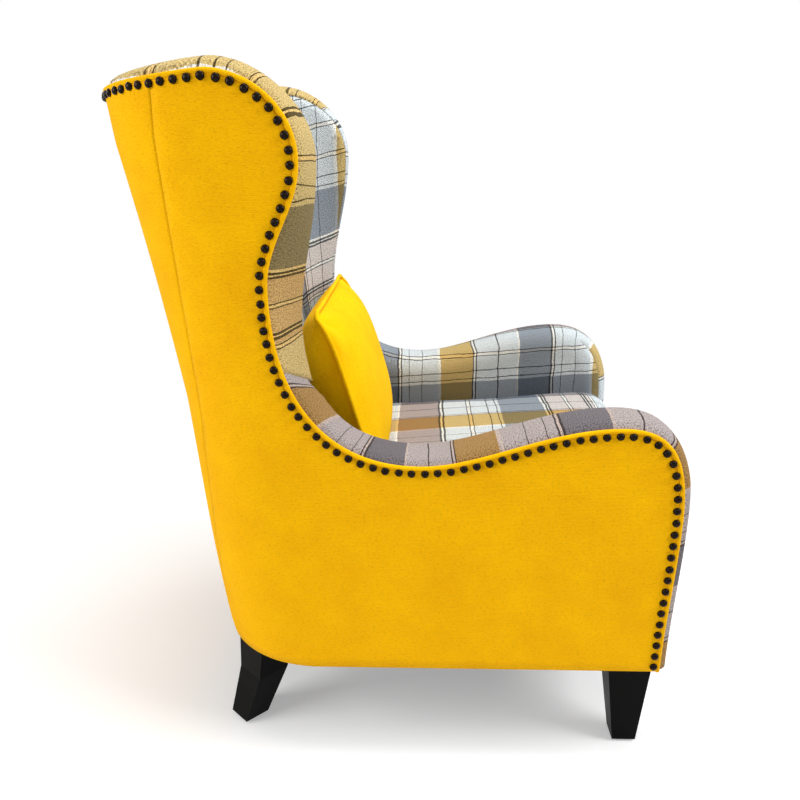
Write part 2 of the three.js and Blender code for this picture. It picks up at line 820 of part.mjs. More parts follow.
function rearLeg() {
  const kneeShare = (legTopZ - rearKneeZ) / (legTopZ - legFootZ);
  const kneeX = rearLegX - rearLegRake * kneeShare + rearKneeForward;
  const kneeY = -rearLegY - rearLegSplay * kneeShare;
  const kneeHalf = lerp(rearLegTop, rearFootSize, kneeShare) / 2;
  return legFrom([
    { plan: diamondPlan(rearLegX - rearLegRake, -rearLegY - rearLegSplay, rearFootSize / 2), z: legFootZ },
    { plan: diamondPlan(kneeX, kneeY, kneeHalf), z: rearKneeZ },
    { plan: diamondPlan(rearLegX, -rearLegY, rearLegTop / 2), z: legTopZ },
  ]).subtract(boltHole(rearLegX, rearLegY));
}

function dustCover() {
  const top = railBottomZ - clearance;
  const plans = [-1, 1].flatMap((side) => [
    squarePlan(frontLegX, side * frontLegY, legTop / 2 + legOpening),
    diamondPlan(rearLegX, side * rearLegY, rearLegTop / 2 + legOpening),
  ]);
  return plans.reduce(
    (cover, plan) => cover.subtract(prism(plan, baseZ - overrun, railBottomZ)),
    prism(acrossY(outerRun(baseZ, dustCoverInset, frontRailFaceX)), top - dustCoverThickness, top),
  );
}

function frontBorder() {
  const rearX = frontRailFaceX + clearance;
  const rounded = Array.from({ length: borderSteps + 1 }, (_, i) => {
    const angle = Math.PI / 2 * i / borderSteps;
    return [
      borderFrontX - borderRound * (1 - Math.cos(angle)),
      deckFrontZ - borderRound * (1 - Math.sin(angle)),
    ];
  });
  const side = [[rearX, baseZ], [borderFrontX, baseZ], ...rounded, [rearX, deckFrontZ]];
  return acrossProfile(side, clearance - innerHalfWidth, innerHalfWidth - clearance);
}

function seatDeck() {
  const side = [
    [deckBackX, deckUndersideZ],
    [frontRailFaceX, deckUndersideZ],
    [frontRailFaceX, deckFrontZ],
    [deckBackX, deckFrontZ - deckFall],
  ];
  return acrossProfile(side, -innerHalfWidth, innerHalfWidth).intersect(sittingSpace());
}

// The chair

const chair = new THREE.Group();

function add(name, shape, look) {
  const geometry = shape.isBufferGeometry ? shape : geometryOf(shape);
  const mesh = new THREE.Mesh(geometry, new THREE.MeshStandardMaterial(look));
  mesh.name = name;
  chair.add(mesh);
  return mesh;
}

function addPair(name, right, look) {
  add(`${name}_right`, right, look);
  add(`${name}_left`, mirrored(right), look);
}

const space = insideSpace();
const seat = seatFrame(space);
add('front_seat_rail', seat.frontRail, finishes.beech);
add('back_seat_rail', seat.backRail, finishes.beech);
addPair('side_seat_rail', seat.sideRail, finishes.beech);
addPair('front_corner_block', seat.frontBlock, finishes.beech);
addPair('rear_corner_block', seat.rearBlock, finishes.beech);

const upper = upperFrame(space);
addPair('arm_post', upper.armPost, finishes.beech);
addPair('arm_rail', upper.armRail, finishes.beech);
addPair('wing_board', upper.wingBoard, finishes.beech);
addPair('back_post', upper.backPost, finishes.beech);
add('back_top_rail', upper.topRail, finishes.beech);
add('back_lower_rail', upper.lowerRail, finishes.beech);

for (let i = 0; i < springCount; i += 1) {
  const y = (i - (springCount - 1) / 2) * springSpacing;
  add(`seat_spring_${i + 1}`, zigzagSpring(y), finishes.steel);
}
for (let i = 0; i < webbingCount; i += 1) {
  add(`back_webbing_${i + 1}`, webbingStrap(webbingFirstZ + i * webbingPitch), finishes.webbing);
}
add('seat_deck', seatDeck(), finishes.hessian);
add('dust_cover', dustCover(), finishes.hessian);

const pads = paddedPieces();
addPair('arm_pad', pads.arm, finishes.plaid);
addPair('wing_pad', pads.wing, finishes.plaid);
add('back_pad', pads.back, finishes.plaid);
add('front_border', frontBorder(), finishes.plaid);

const panels = outsidePanels();
addPair('outside_panel', panels.side, finishes.outside);
add('outside_back', panels.back, finishes.outside);
add('edge_piping', piping(), finishes.outside);
const trims = nailTrims();
addPair('nail_trim', trims.side, finishes.bronze);
add('nail_trim_back', trims.back, finishes.bronze);

addPair('front_leg', frontLeg(), finishes.darkWood);
addPair('rear_leg', rearLeg(), finishes.darkWood);
const frontFootX = frontLegX + frontLegLean;
const rearFoot = [rearLegX - rearLegRake, -rearLegY - rearLegSplay];
addPair('front_glide', upright(frontFootX, -frontLegY, glideRadius, 0, glideHeight), finishes.steel);
addPair('rear_glide', upright(...rearFoot, glideRadius, 0, glideHeight), finishes.steel);
const boltLow = railBottomZ - boltInLeg;
const boltHigh = railBottomZ + boltInRail;
addPair('front_leg_bolt', upright(frontLegX, -frontLegY, boltRadius, boltLow, boltHigh), finishes.steel);
addPair('rear_leg_bolt', upright(rearLegX, -rearLegY, boltRadius, boltLow, boltHigh), finishes.steel);

const deckSlope = Math.atan(deckFall / (frontRailFaceX - deckBackX));
const seatMesh = add('seat_cushion', seatCushion(), finishes.plaid);
seatMesh.rotation.y = -deckSlope;
seatMesh.position.z = deckFrontZ + clearance - frontRailFaceX * Math.tan(deckSlope);

const lumbarMesh = add('lumbar_cushion', lumbarCushion(), finishes.outside);
const lumbarRise = lumbarHeight / 2 * Math.cos(degToRad(lumbarTilt));
const lumbarZ = deckFrontZ + cushionSide - lumbarSink + lumbarRise;
const lumbarX = backX(lumbarZ) + backWall(lumbarZ) + lumbarBackGap + lumbarThickness / 2;
lumbarMesh.rotation.y = degToRad(-90 - lumbarTilt);
lumbarMesh.position.set(lumbarX, 0, lumbarZ);

export default chair;
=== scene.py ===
"""Fireside chair: the upholstery, trim and finishes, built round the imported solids.

The chair faces +X, its right-hand side is at -Y, and it stands on Z = 0. Sizes are in millimetres
in the classes, as in the part's source, and become metres where a mesh is made.
"""

import json
import logging
import math
from collections.abc import Callable, Sequence
from dataclasses import dataclass
from enum import Enum

import bpy
import numpy as np
from mathutils import Matrix, Vector
from mathutils.geometry import delaunay_2d_cdt

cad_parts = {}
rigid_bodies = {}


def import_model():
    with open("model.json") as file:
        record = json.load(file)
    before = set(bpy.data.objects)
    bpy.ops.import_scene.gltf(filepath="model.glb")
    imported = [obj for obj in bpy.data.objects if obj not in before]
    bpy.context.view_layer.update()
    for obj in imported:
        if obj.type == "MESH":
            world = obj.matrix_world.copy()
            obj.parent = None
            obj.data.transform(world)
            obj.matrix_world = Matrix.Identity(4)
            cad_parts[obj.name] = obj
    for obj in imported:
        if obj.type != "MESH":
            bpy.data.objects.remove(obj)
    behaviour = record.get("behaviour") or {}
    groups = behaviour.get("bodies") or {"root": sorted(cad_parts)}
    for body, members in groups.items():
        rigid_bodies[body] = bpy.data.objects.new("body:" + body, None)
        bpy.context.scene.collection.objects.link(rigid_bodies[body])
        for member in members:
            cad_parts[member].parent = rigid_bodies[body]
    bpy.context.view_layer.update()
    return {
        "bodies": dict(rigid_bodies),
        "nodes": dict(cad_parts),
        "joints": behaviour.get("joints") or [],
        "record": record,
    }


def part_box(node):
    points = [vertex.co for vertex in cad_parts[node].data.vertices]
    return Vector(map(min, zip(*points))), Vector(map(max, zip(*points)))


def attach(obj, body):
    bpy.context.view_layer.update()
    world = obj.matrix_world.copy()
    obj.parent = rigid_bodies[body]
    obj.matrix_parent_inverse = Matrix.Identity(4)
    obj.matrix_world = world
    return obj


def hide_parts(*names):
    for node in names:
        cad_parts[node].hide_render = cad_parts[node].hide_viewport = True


LOG = logging.getLogger("fireside_chair")
MM = 0.001
CLOTH_PLACE = "cloth"
SWELL_FRAMES = 20

Pair = tuple[float, float]
Point = tuple[float, float, float]
Array = np.ndarray
Faces = list[tuple[int, ...]]
Piece = bpy.types.Object
Material = bpy.types.Material
Tree = bpy.types.NodeTree


class Side(Enum):
    """The chair's two sides, by the sign of Y that each lies on."""

    RIGHT = -1
    LEFT = 1

    @property
    def word(self) -> str:
        """The word that ends the names of this side's pieces."""
        return self.name.lower()


def linear(sheet_hex: str) -> tuple[float, ...]:
    """Turns an sRGB hex colour into linear light, with an alpha of 1."""
    parts = [int(sheet_hex[i : i + 2], 16) / 255 for i in (1, 3, 5)]
    return (*(c / 12.92 if c <= 0.04045 else ((c + 0.055) / 1.055) ** 2.4 for c in parts), 1.0)


def add_node(
    tree: Tree,
    kind: str,
    inputs: dict[str | int, object] | None = None,
    stops: Sequence[tuple[float, str]] = (),
    **settings: object,
) -> bpy.types.Node:
    """Adds one node to a material, with its settings, values and links.

    Args:
        tree: The material's node tree.
        kind: The node's type, without the ShaderNode at its start.
        inputs: For each input, by name or place, a value, the socket that feeds it, or the node whose
            first output does.
        stops: Places and hex colours of the node's ramp, where it has one.
        **settings: Properties of the node.

    Returns:
        The new node.
    """
    node = tree.nodes.new(f"ShaderNode{kind}")
    for name, value in settings.items():
        setattr(node, name, value)
    for name, value in (inputs or {}).items():
        feed = value.outputs[0] if isinstance(value, bpy.types.Node) else value
        if isinstance(feed, bpy.types.NodeSocket):
            tree.links.new(feed, node.inputs[name])
        else:
            node.inputs[name].default_value = feed
    if stops:
        elements = node.color_ramp.elements
        while len(elements) < len(stops):
            elements.new(1.0)
        for element, (place, colour) in zip(elements, stops):
            element.position = place
            element.color = linear(colour)
    return node


def new_material(name: str) -> tuple[Material, Tree]:
    """Makes an empty node material.

    Args:
        name: The material's name.

    Returns:
        The material, and its node tree with no nodes in it.
    """
    material = bpy.data.materials.new(name)
    material.use_nodes = True
    material.node_tree.nodes.clear()
    return material, material.node_tree


def finish_surface(
    tree: Tree, height: object, strength: float, depth_mm: float, **inputs: object
) -> None:
    """Ends a material in a Principled shader with a bump.

    Args:
        tree: The material's node tree.
        height: The socket or node that gives the bump's height.
        strength: The bump's strength.
        depth_mm: The bump's depth in millimetres.
        **inputs: The shader's inputs, with underscores for the spaces in their names.
    """
    relief = {"Height": height, "Strength": strength, "Distance": depth_mm * MM}
    named = {name.replace("_", " "): value for name, value in inputs.items()}
    shader = add_node(tree, "BsdfPrincipled", {**named, "Normal": add_node(tree, "Bump", relief)})
    add_node(tree, "OutputMaterial", {"Surface": shader})


@dataclass(frozen=True)
class PlainWool:
    """Plain wool upholstery cloth, yarn-dyed and woven in a slubby hopsack, then brushed.

    It gives the eye a matt face with thick and thin threads, a faint orange painted shade in the
    hollows of the weave, and a soft pale edge where light grazes its nap.
    """

    name: str = "plain_wool"
    base: str = "#F9B900"
    lit: str = "#FFC100"
    deep: str = "#F5B200"
    # The real threads lie 1.1 mm apart. They are drawn 2.2 mm apart, so that they show.
    thread_mm: float = 2.2
    slub_mm: float = 5.0
    mottle_mm: float = 90.0

    def make(self) -> Material:
        """Builds the material.

        Returns:
            The material.
        """
        material, tree = new_material(self.name)
        at = add_node(tree, "Attribute", attribute_name=CLOTH_PLACE).outputs["Vector"]
        threads_apart = (1 / self.slub_mm, 1 / self.thread_mm, 1)
        stretched = add_node(tree, "Mapping", {"Vector": at, "Scale": threads_apart})
        slub_look = {"Scale": 1.0, "Detail": 3.0, "Roughness": 0.6}
        slub = add_node(tree, "TexNoise", {"Vector": stretched, **slub_look})
        # A wave repeats every 2 pi / 20 units at a scale of 1
        rib_look = {"Scale": math.pi / 10 / self.thread_mm, "Distortion": 1.2, "Detail": 2.0}
        ribs = add_node(tree, "TexWave", {"Vector": at, **rib_look}, bands_direction="Y")
        mottle_look = {"Scale": 1 / self.mottle_mm, "Detail": 4.0, "Roughness": 0.65}
        mottle = add_node(tree, "TexNoise", {"Vector": at, **mottle_look})
        tones = [(0.3, self.deep), (0.48, self.base), (0.72, self.lit)]
        body = add_node(tree, "ValToRGB", {"Fac": mottle}, tones)
        # Thin places turn tan: partly the yarn's tone, partly painted shade in the bump's hollows
        threads = add_node(tree, "ValToRGB", {"Fac": slub}, [(0.28, "#C9B48A"), (0.5, "#FFFFFF")])
        mixed = {0: 0.46, 6: body, 7: threads}
        colour = add_node(tree, "Mix", mixed, data_type="RGBA", blend_type="MULTIPLY")
        height = add_node(tree, "Math", {0: slub, 1: ribs.outputs["Fac"]}, operation="ADD")
        finish_surface(
            tree, height, strength=0.5, depth_mm=0.6, Base_Color=colour.outputs[2], Roughness=0.92,
            IOR=1.5, Specular_IOR_Level=0.08, Sheen_Weight=0.015, Sheen_Roughness=0.5,
        )
        return material


@dataclass(frozen=True)
class CheckedWool:
    """Checked wool upholstery cloth, woven as a two-and-two twill from dyed yarns.

    It gives the eye blocks of pale blue-grey, slate, taupe and mustard with white and dark lines.
    Where a stripe of one colour crosses one of another, it turns into a darker mixed tone.
    """

    name: str = "checked_wool"
    pale: str = "#E3E9EC"
    slate: str = "#8A939F"
    mustard: str = "#D5B25C"
    taupe: str = "#AB9A96"
    blush: str = "#DCD0CA"
    white: str = "#FBF8F0"
    charcoal: str = "#2A282B"
    # The yarns of one way shade those of the other where they cross, by this share
    crossing_shade: float = 0.75
    crossing_white: float = 0.8
    # The yarns' wander moves every line by this much on the mean, in millimetres
    mean_shift: float = 3.8
    # The real twill line repeats every 2 mm. It is drawn every 4 mm, so that it shows.
    twill_mm: float = 4.0
    # The melange yarn's flecks are about 1 mm long. They are drawn 2 mm long, so that they show.
    fleck_mm: float = 2.0

    def line(self, dark: float, white: float) -> list[tuple[float, str]]:
        """Gives a white line between two dark ones, by the widths of one dark and of the white."""
        return [(dark, self.charcoal), (white, self.white), (dark, self.charcoal)]

    def warp(self) -> list[tuple[float, str]]:
        """Gives the widths and colours of the lengthwise stripes, in millimetres."""
        thin = (1.9, self.charcoal)
        return [
            *self.line(2.6, 5.0), (13, self.pale), thin, (27, self.pale), thin, (33, self.pale),
            (6, self.white), (68, self.mustard), *self.line(2.6, 5.0), (45, self.pale), thin,
            (40, self.pale), (3.5, self.white), (68, self.slate),
        ]

    def weft(self) -> list[tuple[float, str]]:
        """Gives the widths and colours of the crosswise stripes, in millimetres."""
        thin = (1.9, self.charcoal)
        return [
            *self.line(3.0, 4.6), (46, self.pale), *self.line(3.0, 4.6), (32, self.pale), thin,
            (15, self.pale), thin, (6, self.pale), (88, self.slate), (4, self.white),
            *self.line(2.2, 3.6), (36, self.blush), *self.line(2.2, 3.6), (33, self.blush),
            *self.line(2.2, 3.6), (7, self.blush), *self.line(2.2, 3.6), (86, self.pale),
            (4, self.white), (80, self.taupe),
        ]

    def make(self) -> Material:
        """Builds the material.

        Returns:
            The material.
        """
        material, tree = new_material(self.name)
        at = add_node(tree, "Attribute", attribute_name=CLOTH_PLACE).outputs["Vector"]
        # The yarns wander a little and fray, so no stripe is ruled
        moved = at
        for size, detail, reach in ((40, 2.0, 6.0), (1.8, 1.0, 1.6)):
            noise = add_node(tree, "TexNoise", {"Vector": at, "Scale": 1 / size, "Detail": detail})
            push = {0: noise.outputs["Color"], "Scale": reach}
            pushed = {0: moved, 1: add_node(tree, "VectorMath", push, operation="SCALE")}
            moved = add_node(tree, "VectorMath", pushed, operation="ADD")
        parts = add_node(tree, "SeparateXYZ", {"Vector": moved})
        yarns = []
        for axis, stripes in (("X", self.warp()), ("Y", self.weft())):
            repeat = sum(width for width, _ in stripes)
            starts = [sum(width for width, _ in stripes[:i]) for i in range(len(stripes))]
            turns = add_node(tree, "Math", {0: parts.outputs[axis], 1: repeat}, operation="DIVIDE")
            share = add_node(tree, "Math", {0: turns}, operation="FRACT")
            stops = [(start / repeat, colour) for start, (_, colour) in zip(starts, stripes)]
            yarns.append(add_node(tree, "ValToRGB", {"Fac": share}, stops))
            yarns[-1].color_ramp.interpolation = "CONSTANT"
        # A diagonal wave repeats every 2 pi / 10 units at a scale of 1
        twill_look = {"Scale": math.pi / 5 / self.twill_mm, "Distortion": 1.5, "Detail": 1.0}
        wave = add_node(tree, "TexWave", {"Vector": at, **twill_look}, bands_direction="DIAGONAL")
        twill = wave.outputs["Fac"]
        over = add_node(tree, "MapRange", {"Value": twill, "To Min": 0.35, "To Max": 0.65})
        both = {6: yarns[0], 7: yarns[1]}
        mean = add_node(tree, "Mix", {0: over, **both}, data_type="RGBA")
        product = add_node(tree, "Mix", {0: 1.0, **both}, data_type="RGBA", blend_type="MULTIPLY")
        crossed = {0: product.outputs[2], "Scale": 1 / self.crossing_white}
        shaded = add_node(tree, "VectorMath", crossed, operation="SCALE")
        crossing = {0: self.crossing_shade, 6: mean.outputs[2], 7: shaded}
        woven = add_node(tree, "Mix", crossing, data_type="RGBA")
        fleck_look = {"Scale": 1 / self.fleck_mm, "Detail": 2.0, "Roughness": 0.75}
        fleck = add_node(tree, "TexNoise", {"Vector": at, **fleck_look})
        tones = [(0.36, "#736D69"), (0.49, "#DCD8D4"), (0.59, "#FFFFFF")]
        shade = add_node(tree, "ValToRGB", {"Fac": fleck}, tones)
        mixed = {0: 0.8, 6: woven.outputs[2], 7: shade}
        colour = add_node(tree, "Mix", mixed, data_type="RGBA", blend_type="MULTIPLY")
        height = add_node(tree, "Math", {0: fleck, 1: twill}, operation="ADD")
        finish_surface(
            tree, height, strength=0.5, depth_mm=0.7, Base_Color=colour.outputs[2], Roughness=0.9,
            IOR=1.5, Specular_IOR_Level=0.1, Sheen_Weight=0.04, Sheen_Roughness=0.5,
        )
        return material


@dataclass(frozen=True)
class Wood:
    """Beech, planed and left bare, or stained near black and lacquered.

    It gives the eye long soft grain with short darker flecks. Bare it is matt and warm; stained and
    lacquered it shows a faint highlight, and only a trace of the grain.
    """

    name: str
    pale: str
    dark: str
    roughness: float
    bump: float
    shine: float = 0.5
    # The long direction of the boards, and the distance between two lines of grain
    grain_axis: int = 2
    grain_mm: float = 3.5
    grain_length_mm: float = 120.0

    def make(self) -> Material:
        """Builds the material.

        Returns:
            The material.
        """
        material, tree = new_material(self.name)
        place = add_node(tree, "TexCoord").outputs["Object"]
        scale = [1 / (self.grain_mm * MM)] * 3
        scale[self.grain_axis] = 1 / (self.grain_length_mm * MM)
        long_way = add_node(tree, "Mapping", {"Vector": place, "Scale": tuple(scale)})
        look = {"Scale": 1.0, "Detail": 5.0, "Roughness": 0.6, "Distortion": 0.3}
        grain = add_node(tree, "TexNoise", {"Vector": long_way, **look})
        colour = add_node(tree, "ValToRGB", {"Fac": grain}, [(0.35, self.dark), (0.65, self.pale)])
        limits = {"To Min": self.roughness - 0.06, "To Max": self.roughness + 0.08}
        gloss = add_node(tree, "MapRange", {"Value": grain, **limits})
        finish_surface(
            tree, grain, strength=self.bump, depth_mm=0.4, Base_Color=colour, Roughness=gloss,
            IOR=1.5, Specular_IOR_Level=self.shine,
        )
        return material


@dataclass(frozen=True)
class Metal:
    """Steel or brass, drawn or pressed, then left bare or darkened in a bath.

    It gives the eye a metal's sharp bright spot, dulled in patches by handling and by the bath.
    """

    name: str
    base: str
    worn: str
    roughness: float
    patch_mm: float

    def make(self) -> Material:
        """Builds the material.

        Returns:
            The material.
        """
        material, tree = new_material(self.name)
        place = add_node(tree, "TexCoord").outputs["Object"]
        look = {"Scale": 1 / (self.patch_mm * MM), "Detail": 4.0, "Roughness": 0.6}
        patches = add_node(tree, "TexNoise", {"Vector": place, **look})
        colour = add_node(tree, "ValToRGB", {"Fac": patches}, [(0.4, self.base), (0.75, self.worn)])
        limits = {"To Min": self.roughness - 0.08, "To Max": self.roughness + 0.12}
        gloss = add_node(tree, "MapRange", {"Value": patches, **limits})
        finish_surface(
            tree, patches, strength=0.15, depth_mm=0.3, Base_Color=colour, Metallic=1.0, Roughness=gloss
        )
        return material


@dataclass(frozen=True)
class CoarseWeave:
    """A coarse plain weave: jute webbing, or the black lining cloth under the seat.

    It gives the eye single thick threads over and under each other, dry and matt, with painted
    shade in the hollows between them.
    """

    name: str
    pale: str
    dark: str
    thread_mm: float

    def make(self) -> Material:
        """Builds the material.

        Returns:
            The material.
        """
        material, tree = new_material(self.name)
        at = add_node(tree, "Attribute", attribute_name=CLOTH_PLACE).outputs["Vector"]
        # A wave repeats every 2 pi / 20 units at a scale of 1
        look = {"Scale": math.pi / 10 / self.thread_mm, "Distortion": 1.0, "Detail": 1.0}
        over, under = (
            add_node(tree, "TexWave", {"Vector": at, **look}, bands_direction=axis).outputs["Fac"]
            for axis in ("X", "Y")
        )
        weave = add_node(tree, "Math", {0: over, 1: under}, operation="MULTIPLY")
        # The hollows between the threads are painted dark, as painted shade
        colour = add_node(tree, "ValToRGB", {"Fac": weave}, [(0.0, self.dark), (0.7, self.pale)])
        finish_surface(
            tree, weave, strength=0.6, depth_mm=0.8, Base_Color=colour, Roughness=0.95, IOR=1.5,
            Specular_IOR_Level=0.2,
        )
        return material


class Finishes:
    """The chair's materials, each built once."""

    def __init__(self) -> None:
        """Builds every material once."""
        self.yellow_wool = PlainWool().make()
        # The same yellow wool painted lighter, as painted light for the stronger light on the loose
        # cushion
        self.cushion_wool = PlainWool("plain_wool_painted_lighter", "#FDC400", "#FFCC00", "#FABC00").make()
        self.check = CheckedWool()
        self.checked_wool = self.check.make()
        self.dark_wood = Wood(
            "dark_lacquered_beech", "#030303", "#010101", roughness=0.42, bump=0.12, shine=0.05
        ).make()
        self.beech = Wood(
            "planed_beech", "#D3AC78", "#B98D58", roughness=0.62, bump=0.3, grain_axis=1
        ).make()
        self.bronze = Metal("darkened_brass", "#1B1613", "#2C241E", roughness=0.2, patch_mm=4.0).make()
        steel = Metal("drawn_spring_steel", "#8A8D90", "#B4B6B8", roughness=0.36, patch_mm=9.0)
        self.steel = steel.make()
        self.webbing = CoarseWeave("jute_webbing", "#A58A5E", "#5E4B2F", thread_mm=3.2).make()
        self.lining = CoarseWeave("black_lining_cloth", "#2E2D2C", "#121211", thread_mm=2.6).make()


def clamped(value: Array | float, low: float = 0.0, high: float = 1.0) -> Array | float:
    """Holds a value between two limits."""
    return np.clip(value, low, high)


def between(start: Array | float, end: Array | float, share: Array | float) -> Array | float:
    """Goes from start to end by a share."""
    return start + (end - start) * share


def soft_fall(gaps: Array, reach: float) -> Array:
    """Falls softly from one to nothing with distance."""
    return np.exp(-((gaps / reach) ** 2))


def unit(ways: Array) -> Array:
    """Makes directions one long."""
    return ways / np.linalg.norm(ways, axis=1)[:, None]


def run_lengths(points: Array) -> Array:
    """Gives the distance reached at each point of a run."""
    return np.r_[0, np.cumsum(np.linalg.norm(np.diff(points, axis=0), axis=1))]


def at_stops(stops: Array, reached: Array, points: Array) -> Array:
    """Finds the points of a run at the given distances along it."""
    return np.stack([np.interp(stops, reached, column) for column in points.T], 1)


def resampled(points: Array, step: float, weights: Array | None = None) -> Array:
    """Steps evenly along a line of points.

    Args:
        points: The line's points, one row each.
        step: The wished distance between two steps.
        weights: Distances along the line to use instead of the true ones.

    Returns:
        The evenly spaced points, with the line's own two ends.
    """
    reached = run_lengths(points) if weights is None else weights
    count = max(2, round(reached[-1] / step) + 1)
    return at_stops(np.linspace(0, reached[-1], count), reached, points)


def ringed(line: Array) -> Array:
    """Closes a line of points by its first point."""
    return np.vstack([line, line[:1]])


def flipped(faces: Faces) -> Faces:
    """Turns faces over."""
    return [tuple(reversed(face)) for face in faces]


def moved_on(faces: Faces, count: int) -> Faces:
    """Counts faces' points on by as many as come before them."""
    return [tuple(v + count for v in face) for face in faces]


def filled_outline(outline: Array, step: float) -> tuple[Array, Faces]:
    """Fills a flat closed outline with small even triangles.

    Args:
        outline: The outline's corners, in order.
        step: The size of a triangle's side.

    Returns:
        The points in the plane, and the triangles.
    """
    closed = ringed(outline)
    edge_points = []
    for start, end in zip(closed, closed[1:]):
        count = max(1, round(float(np.linalg.norm(end - start)) / step))
        edge_points.extend(between(start, end, i / count) for i in range(count))
    rim = np.array(edge_points)
    low, high = rim.min(0), rim.max(0)
    rows = []
    row_step = step * math.sqrt(3) / 2
    for row, y in enumerate(np.arange(low[1] + row_step / 2, high[1], row_step)):
        shift = step / 2 if row % 2 else 0.0
        rows.extend((x, y) for x in np.arange(low[0] + shift, high[0], step))
    grid = np.array(rows)
    gaps = np.min(np.linalg.norm(grid[:, None, :] - rim[None, :, :], axis=2), axis=1)
    points = np.vstack([rim, grid[gaps > 0.55 * step]])
    count = len(rim)
    edges = [(i, (i + 1) % count) for i in range(count)]
    made = delaunay_2d_cdt([Vector(p) for p in points], edges, [list(range(count))], 1, 1e-5)
    # Points outside the outline are in no face, and are left out
    used, numbers = np.unique(np.array(made[2]), return_inverse=True)
    triangles = numbers.reshape(-1, 3)
    return np.array([tuple(made[0][v]) for v in used]), [tuple(map(int, t)) for t in triangles]


def grid_faces(rows: int, columns: int) -> Faces:
    """Joins rows of points into four-sided faces."""
    return [
        (r * columns + c, r * columns + c + 1, (r + 1) * columns + c + 1, (r + 1) * columns + c)
        for r in range(rows - 1)
        for c in range(columns - 1)
    ]


def mesh_piece(
    name: str, points: Array, faces: Faces, material: Material, cloth: Array | None = None
) -> Piece:
    """Makes a smooth mesh object from points in millimetres.

    Args:
        name: The piece's name.
        points: Its points, one row each, in millimetres.
        faces: Its faces, as places in the list of points.
        material: Its material.
        cloth: Where each point lies on the flat cloth, in millimetres along and across it.

    Returns:
        The object, in the scene.
    """
    mesh = bpy.data.meshes.new(name)
    mesh.from_pydata((np.asarray(points) * MM).tolist(), [], [list(map(int, f)) for f in faces])
    mesh.validate()
    mesh.update()
    mesh.shade_smooth()
    if cloth is not None:
        flat = np.zeros((len(points), 3), np.float32)
        flat[:, :2] = cloth
        place = mesh.attributes.new(CLOTH_PLACE, "FLOAT_VECTOR", "POINT")
        place.data.foreach_set("vector", flat.ravel())
    mesh.materials.append(material)
    piece = bpy.data.objects.new(name, mesh)
    bpy.context.scene.collection.objects.link(piece)
    return piece


def mirrored(points: Array, side: Side) -> Array:
    """Gives points built for the right-hand side to the side that is asked for."""
    return points * np.array([1, 1 if side is Side.RIGHT else -1, 1])


def facing(faces: Faces, side: Side) -> Faces:
    """Turns faces built for the right-hand side, so that they still face outward on the left."""
    return list(faces) if side is Side.RIGHT else flipped(faces)


def turned_in(points: Array, faces: Faces) -> Faces:
    """Turns faces over if they look away from the chair's inside: forward, in and up."""
    first, second, third = (points[[face[corner] for face in faces]] for corner in range(3))
    return flipped(faces) if np.cross(second - first, third - first).sum() < 0 else faces


def thicken(piece: Piece, depth: float) -> None:
    """Gives a surface a real thickness behind it, in millimetres."""
    solid = piece.modifiers.new("thickness", "SOLIDIFY")
    solid.thickness, solid.offset = depth * MM, -1


def fit(piece: Piece, node: str = "", body: str = "chair") -> None:
    """Puts a piece in the place of a node.

    Args:
        piece: The piece.
        node: The node that it stands for, if there is one.
        body: The body that it rides on.
    """
    if node:
        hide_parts(node)
    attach(piece, body)


def stretch(
    piece: Piece,
    depth: float,
    node: str,
) -> Piece:
    """Gives a cloth piece its thickness, and puts it in the place of its node.

    Args:
        piece: The piece.
        depth: The cloth's thickness in millimetres.
        node: The node that it stands for.

    Returns:
        The piece.
    """
    thicken(piece, depth)
    fit(piece, node)
    return piece


@dataclass(frozen=True)
class EdgeCurve:
    """One curve of the edge line in the side view, upright or level at each end."""

    start: Pair
    end: Pair
    holds: Pair
    leaves_upright: bool
    arrives_upright: bool

    def knots(self) -> Array:
        """Gives the curve's four control points.

        Returns:
            The points, one row each.
        """
        ends = np.array([self.start, self.end])
        ways = zip(self.holds, (self.leaves_upright, self.arrives_upright))
        holds = np.array([[0.0, share] if upright else [share, 0.0] for share, upright in ways])
        held = between(ends, ends[::-1], holds)
        return np.array([ends[0], *held, ends[1]])

    def at(self, shares: Array) -> tuple[Array, Array]:
        """Gives points and directions along the curve.

        Args:
            shares: How far along the curve each is.

        Returns:
            The points, and the unit directions there.
        """
        knots = self.knots()
        t = shares[:, None]
        s = 1 - t
        points = s**3 * knots[0] + 3 * s**2 * t * knots[1] + 3 * s * t**2 * knots[2] + t**3 * knots[3]
        steps = np.diff(knots, axis=0)
        along = s**2 * steps[0] + 2 * s * t * steps[1] + t**2 * steps[2]
        return points, unit(along)


